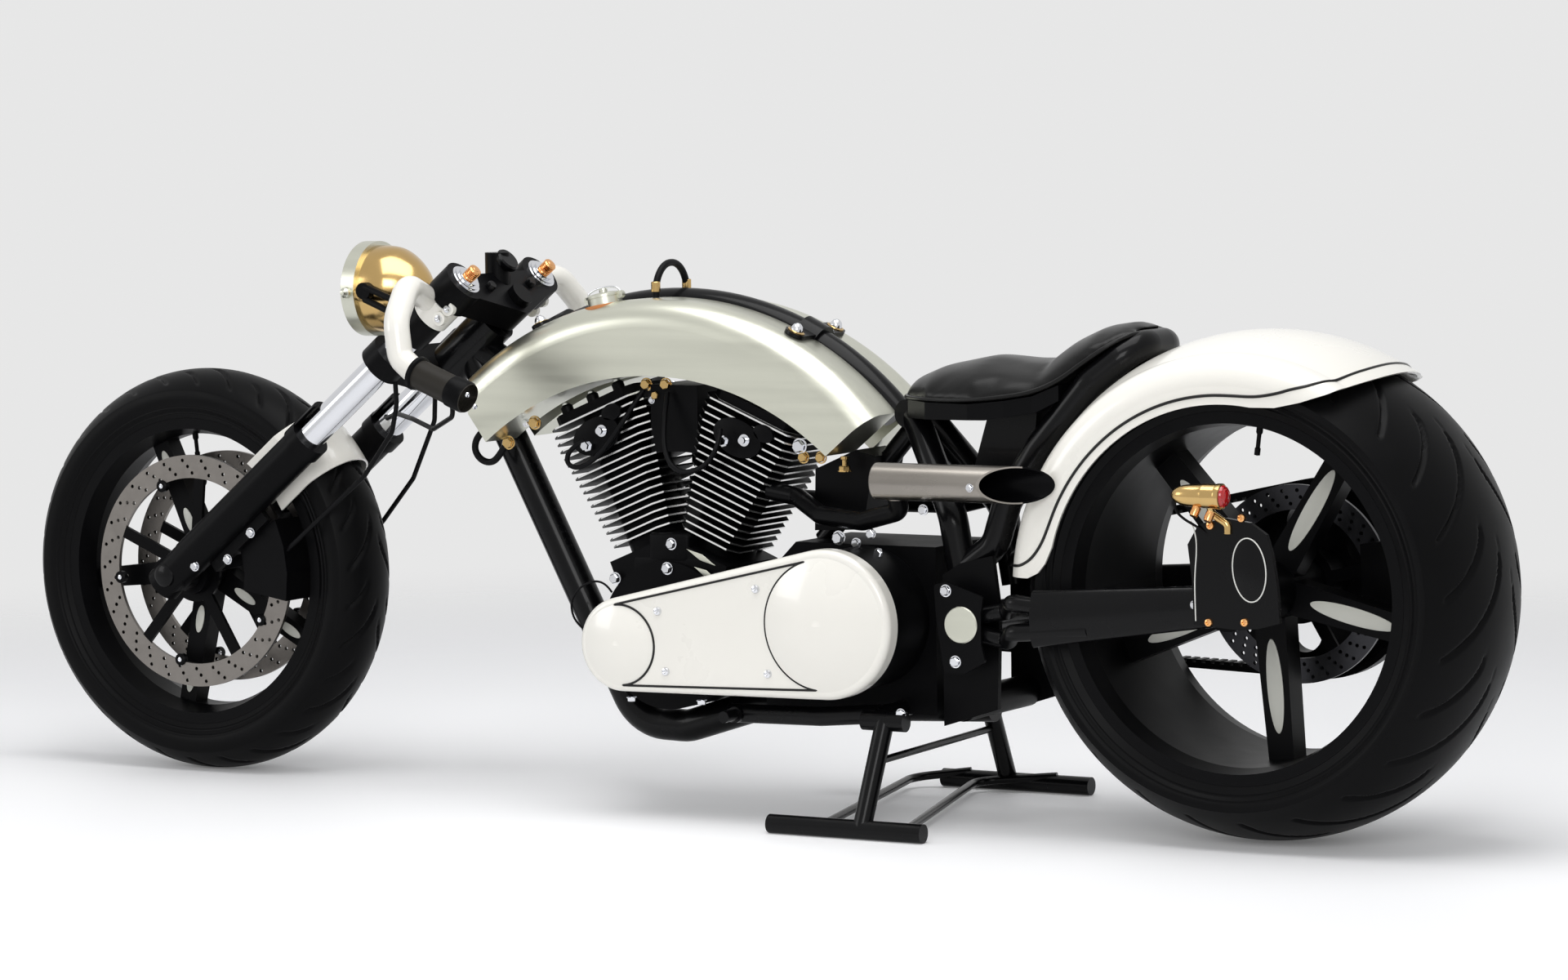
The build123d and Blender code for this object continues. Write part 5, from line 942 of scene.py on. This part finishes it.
bail = [cap_foot + cap_ahead * a + cap_up * b
        for a, b in ((-0.029, 0.012), (-0.027, 0.022), (-0.014, 0.0265), (0, 0.0275), (0.014, 0.0265), (0.027, 0.022),
                     (0.029, 0.012))]
cable("cap_bail", [tuple(point * 1000) for point in bail], 1.4, *STEEL)

HOSE_X, HOSE_Y = 79, 42
ferrule = [(0.0066, 0.0), (0.0066, 0.013), (0.0058, 0.014), (0.005, 0.014)]
base = [(0.009, -0.002), (0.009, 0.002), (0.0045, 0.003), (0.0045, 0.012)]
turned_set("hose_ferrules", [(ferrule, mm(HOSE_X, side * HOSE_Y, 720), UP, 18) for side in SIDES], *BRASS)
turned_set("hose_bases", [(base, mm(HOSE_X, side * HOSE_Y, 709), UP, 18) for side in SIDES], *STEEL)

clamp_feet = [(on_tank(angle, CLAMP_RADIUS, side * CLAMP_Y), side_way(angle))
              for angle in CLAMP_ANGLES for side in SIDES]
nut = [(0.0, 0.012), (0.003, 0.0116), (0.0065, 0.009), (0.0085, 0.005), (0.009, 0.001), (0.009, -0.002)]
washer = [(0.0122, -0.003), (0.0125, 0.0012), (0.0092, 0.0022)]
turned_set("clamp_nuts", [(nut, foot, way, 20) for foot, way in clamp_feet], *STEEL)
turned_set("clamp_washers", [(washer, foot, way, 24) for foot, way in clamp_feet], *BRASS)

bm = bmesh.new()
for at, axis, radius in ((mm(93.7, 46, 590), LEFT, 0.0075), (mm(61.8, 46, 590.7), LEFT, 0.0075),
                         (mm(78.5, 46, 575), LEFT, 0.006), (mm(263.8, 72, 534), LEFT, 0.008),
                         (mm(316, 60, 503.5), LEFT, 0.008), (mm(-169.8, 66, 496), LEFT, 0.007),
                         (mm(-198.5, 68, 496.5), LEFT, 0.007), (mm(-234, 66, 478), UP, 0.008)):
    hex_bolt(bm, at, axis, radius)
turn(bm, [(0.004, 0), (0.004, 0.010), (0.006, 0.011), (0.006, 0.015), (0.0, 0.016)], mm(-234, 66, 484), UP, 16)
make_piece("brass_fittings", bm, *BRASS)
bolt_set("steel_fittings", hex_bolt,
         [(mm(277.9, 74, 533.9), LEFT, 0.005), (mm(-164, 66, 511), LEFT, 0.009), (mm(84.6, 48, 568), LEFT, 0.004)],
         *STEEL)
cable("fuel_line", [(348, 60, 528), (368, 60, 514), (376, 60, 494), (366, 60, 478), (348, 60, 473), (334, 60, 482),
                    (322, 60, 500)], 5.0, *CORD)
print("tank fittings made")

# %% [markdown]
# At the fork's head the preload adjusters stand on silver collars, turned from orange brass with rings that a
# hand can grip. The bars are clamped by two bolts a side, and the grips end in black housings with two screws.

# %% Fork head and bars
RAKE, TUBE_Y, TUBE_TOP = 50, 98.8, 680
FORK_WAY = Vector((-sin(radians(RAKE)), 0, cos(radians(RAKE))))
FORK_SIDE = side_way(RAKE)


def fork_place(forward, left, up_along):
    """A point of the fork: forward of the tubes, left of the middle, up along them."""
    return FRONT_AXLE + (FORK_SIDE * forward + FORK_WAY * up_along) / 1000 + mm(0, left, 0)


tube_tops = [fork_place(0, side * TUBE_Y, TUBE_TOP) for side in SIDES]
collar = [(0.024, 0.0), (0.024, 0.003), (0.021, 0.0035), (0.021, 0.006), (0.016, 0.0065), (0.016, 0.010),
          (0.009, 0.0105)]
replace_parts(turned_set("fork_collars", [(collar, top, FORK_WAY, 40) for top in tube_tops], *FORK_STEEL), "fork_caps")
rings = [(0.0096, 0.010)]
for ring in range(4):
    rings += [(0.0096, 0.0120 + 0.0028 * ring), (0.0082, 0.0126 + 0.0028 * ring), (0.0082, 0.0136 + 0.0028 * ring),
              (0.0096, 0.0142 + 0.0028 * ring)]
rings += [(0.0098, 0.0232), (0.0085, 0.0250), (0.005, 0.0254), (0.0045, 0.0260), (0.0, 0.0262)]
turned_set("preload_adjusters", [(rings, top, FORK_WAY, 28) for top in tube_tops], copper_brass, "steering",
           "brass_trim")

BAR_CLAMP = ((373, 696), (388.5, 682))
boss = [(0.0, -0.004), (0.010, -0.004), (0.010, 0.004), (0.0, 0.004)]
turned_set("bar_clamp_bosses", [(boss, mm(x, side * 122, z), LEFT, 20) for side in SIDES for x, z in BAR_CLAMP],
           white_paint, "steering", "cream_paint")
bar_rows = []
for side in SIDES:
    bar_rows += [(mm(x, side * 126, z), (0, side, 0), 0.006) for x, z in BAR_CLAMP]
    bar_rows += [(mm(x - 12, side * 266, z - 2), (-0.9, side * 0.1, -0.34), 0.004) for x, z in ((262, 588), (250, 572))]
bolt_set("bar_screws", button_screw, bar_rows, *FORK_STEEL)

grip_start, grip_end = mm(346.6, 248.6, 614), mm(256, 255, 580)
for side, label in ((1, "left"), (-1, "right")):
    first = Vector((grip_start.x, grip_start.y * side, grip_start.z))
    last = Vector((grip_end.x, grip_end.y * side, grip_end.z))
    way = (last - first).normalized()
    length = (last - first).length
    flange = [(0.0195, 0.0), (0.0245, 0.001), (0.0245, 0.006), (0.0215, 0.008)]
    housing = [(0.0212, length - 0.030), (0.0228, length - 0.028), (0.0228, length - 0.004), (0.020, length),
               (0.0, length)]
    turned_set("grip_housing_" + label, [(flange, first, way, 36), (housing, first, way, 36)], black_satin,
               "steering", "black_alloy")

stem_cap = [(0.0, 0.026), (0.0165, 0.026), (0.0185, 0.0235), (0.0185, 0.018), (0.0172, 0.016)]
clamp_bolt = [(0.0, 0.009), (0.006, 0.009), (0.0072, 0.007), (0.0072, -0.002)]
turned_set("stem_cap_and_bolts",
           [(stem_cap, mm(369, 0, 746), FORK_WAY, 32)] +
           [(clamp_bolt, fork_place(-16, side * 52, TUBE_TOP), FORK_WAY, 20) for side in SIDES],
           black_gloss, "steering", "black_alloy")

# Headlight: a lug of brass on each side with a nub outside the rim
nub = [(0.0, 0.016), (0.0035, 0.0155), (0.0045, 0.012), (0.0075, 0.009), (0.0085, 0.0)]
turned_set("lamp_nubs", [(nub, mm(584, side * 66, 714), (0, side, 0), 20) for side in SIDES], raw_metal, "steering",
           "raw_metal")
dome = [(0.0, 0.009), (0.006, 0.008), (0.010, 0.004), (0.012, -0.006)]
stud = [(0.0, 0.004), (0.005, 0.0035), (0.007, 0.0)]
lug_rows = []
for side in SIDES:
    lug_rows += [(dome, mm(566, side * 62, 712), (-0.25, side, 0), 20),
                 (stud, mm(548, side * 60.5, 716), (-0.25, side, 0), 18)]
turned_set("lamp_lugs", lug_rows, brass, "steering", "brass_trim")
print("fork head and bars made")

# %% [markdown]
# The tail lamp is a brass bullet on a bent stalk. Its red glass sits in a brass bezel at the back, ribbed in
# rings like a cut stone.

# %% Tail lamp
TAIL_LAMP = mm(-800, 215, 475)
bezel = [(0.0163, 0.066), (0.0168, 0.068), (0.0168, 0.0735), (0.0150, 0.0742), (0.0140, 0.0725)]
glass = [(0.0146, 0.071), (0.0144, 0.0755), (0.0128, 0.078), (0.0118, 0.0772), (0.0098, 0.0802), (0.0088, 0.0796),
         (0.006, 0.0815), (0.0, 0.0820)]
tail_nut = [(0.0, 0.008), (0.005, 0.007), (0.006, 0.003), (0.006, -0.006)]
turned_set("tail_bezel", [(bezel, TAIL_LAMP, BACK, 36)], *BRASS)
turned_set("tail_glass", [(glass, TAIL_LAMP, BACK, 36)], dark_red, "frame", "lamp_glass")
turned_set("tail_nuts", [(tail_nut, mm(x, 222, z), (0.2, 0.6, -1), 16) for x, z in ((-838, 455), (-858, 449))],
           copper_brass, "frame", "brass_trim")
cable("tail_wire", [(-806, 212, 470), (-802, 212, 458), (-812, 206, 444), (-832, 198, 432), (-846, 192, 420)], 1.8,
      *CORD)
print("tail lamp made")

# %% [markdown]
# Bolts are real parts, so they are turned one by one, with a socket or a hexagon, each at the place the
# photograph shows: silver ones hold the pivot cover, the arm, the caliper and the case, brass ones the axle plate.

# %% Bolts along the left side
bolt_set("frame_bolts", hex_bolt, (
    (mm(-427.6, 138, 328.4), LEFT, 0.0068), (mm(-441.3, 138, 233), LEFT, 0.0068), (mm(-505, 213, 475), LEFT, 0.0045),
    (mm(-426, 196, 442), LEFT, 0.006), (mm(-819, 187, 330), LEFT, 0.0045), (mm(45.3, 178, 166), DOWN, 0.006),
    (mm(-67.3, 178, 167), DOWN, 0.006), (mm(-253, 118, 392), LEFT, 0.008), (mm(-280, 118, 385.5), LEFT, 0.006),
    (mm(-303, 118, 399), LEFT, 0.006), (mm(-314, 118, 372.6), LEFT, 0.006), (mm(-377.5, 176, 163.6), LEFT, 0.006),
    (mm(-341.7, 178, 148.6), LEFT, 0.006)), *STEEL)
bolt_set("axle_plate_screws", button_screw,
         [(mm(x, 195, z), LEFT, 0.006) for x, z in ((-843.7, 308.7), (-894.9, 310.9), (-891.2, 446), (-847, 435))],
         copper_brass, "frame", "brass_trim")
OVAL_LONG, OVAL_CROSS = Vector((0.1, 0, 0.995)), Vector((0.995, 0, -0.1))
bm = bmesh.new()
oval_plate(bm, mm(-902, 195, 379), OVAL_LONG * 0.042, OVAL_CROSS * 0.024, 0.0012, 0.0004)
make_piece("axle_plate_oval", bm, black_gloss, "frame", "black_alloy")
# The pale finish serves two marks: the oval ring around the badge, and a painted highlight along the plate's front
# edge.
pale_ring_and_edge_highlight = finish("pale ring and edge highlight", (0.7, 0.7, 0.66), 0.35, mottle=0.04)
oval_angles = [2 * pi * i / 36 for i in range(36)]
oval_points = [mm(-902, 196.2, 379) + OVAL_LONG * 0.0415 * cos(a) + OVAL_CROSS * 0.0235 * sin(a) for a in oval_angles]
cable("axle_oval_line", [tuple(point * 1000) for point in oval_points], 0.9, pale_ring_and_edge_highlight, "frame", "cream_paint",
      closed=True)
# The pale line on the axle plate's front edge is a painted highlight, standing in for the light on a curved edge.
cable("axle_plate_edge_highlight", [(-819, 195, 440), (-826, 195, 424), (-827, 195, 400), (-824, 195, 370), (-824, 195, 340),
                          (-825, 195, 310)], 0.9, pale_ring_and_edge_highlight, "frame", "cream_paint")
pivot_cap = [(0.0, 0.0025), (0.0235, 0.0025), (0.0250, 0.0012), (0.0250, -0.0005)]
turned_set("pivot_disc", [(pivot_cap, mm(-450, 138.6, 283), LEFT, 48)], raw_metal, "frame", "raw_metal")
bolt_set("fork_leg_bolts", hex_bolt,
         [(fork_place(back, y, up), LEFT, 0.006) for back, up, y in ((-22, 50, 118), (-44, 92, 100), (-40, 150, 100))],
         *FORK_STEEL)
axle_cap = [(0.0, 0.006), (0.012, 0.006), (0.0165, 0.003), (0.0175, -0.004)]
turned_set("front_axle_caps", [(axle_cap, FRONT_AXLE + mm(0, side * 122, 0), (0, side, 0), 32) for side in SIDES],
           black_gloss, "steering", "black_alloy")
print("bolts made")
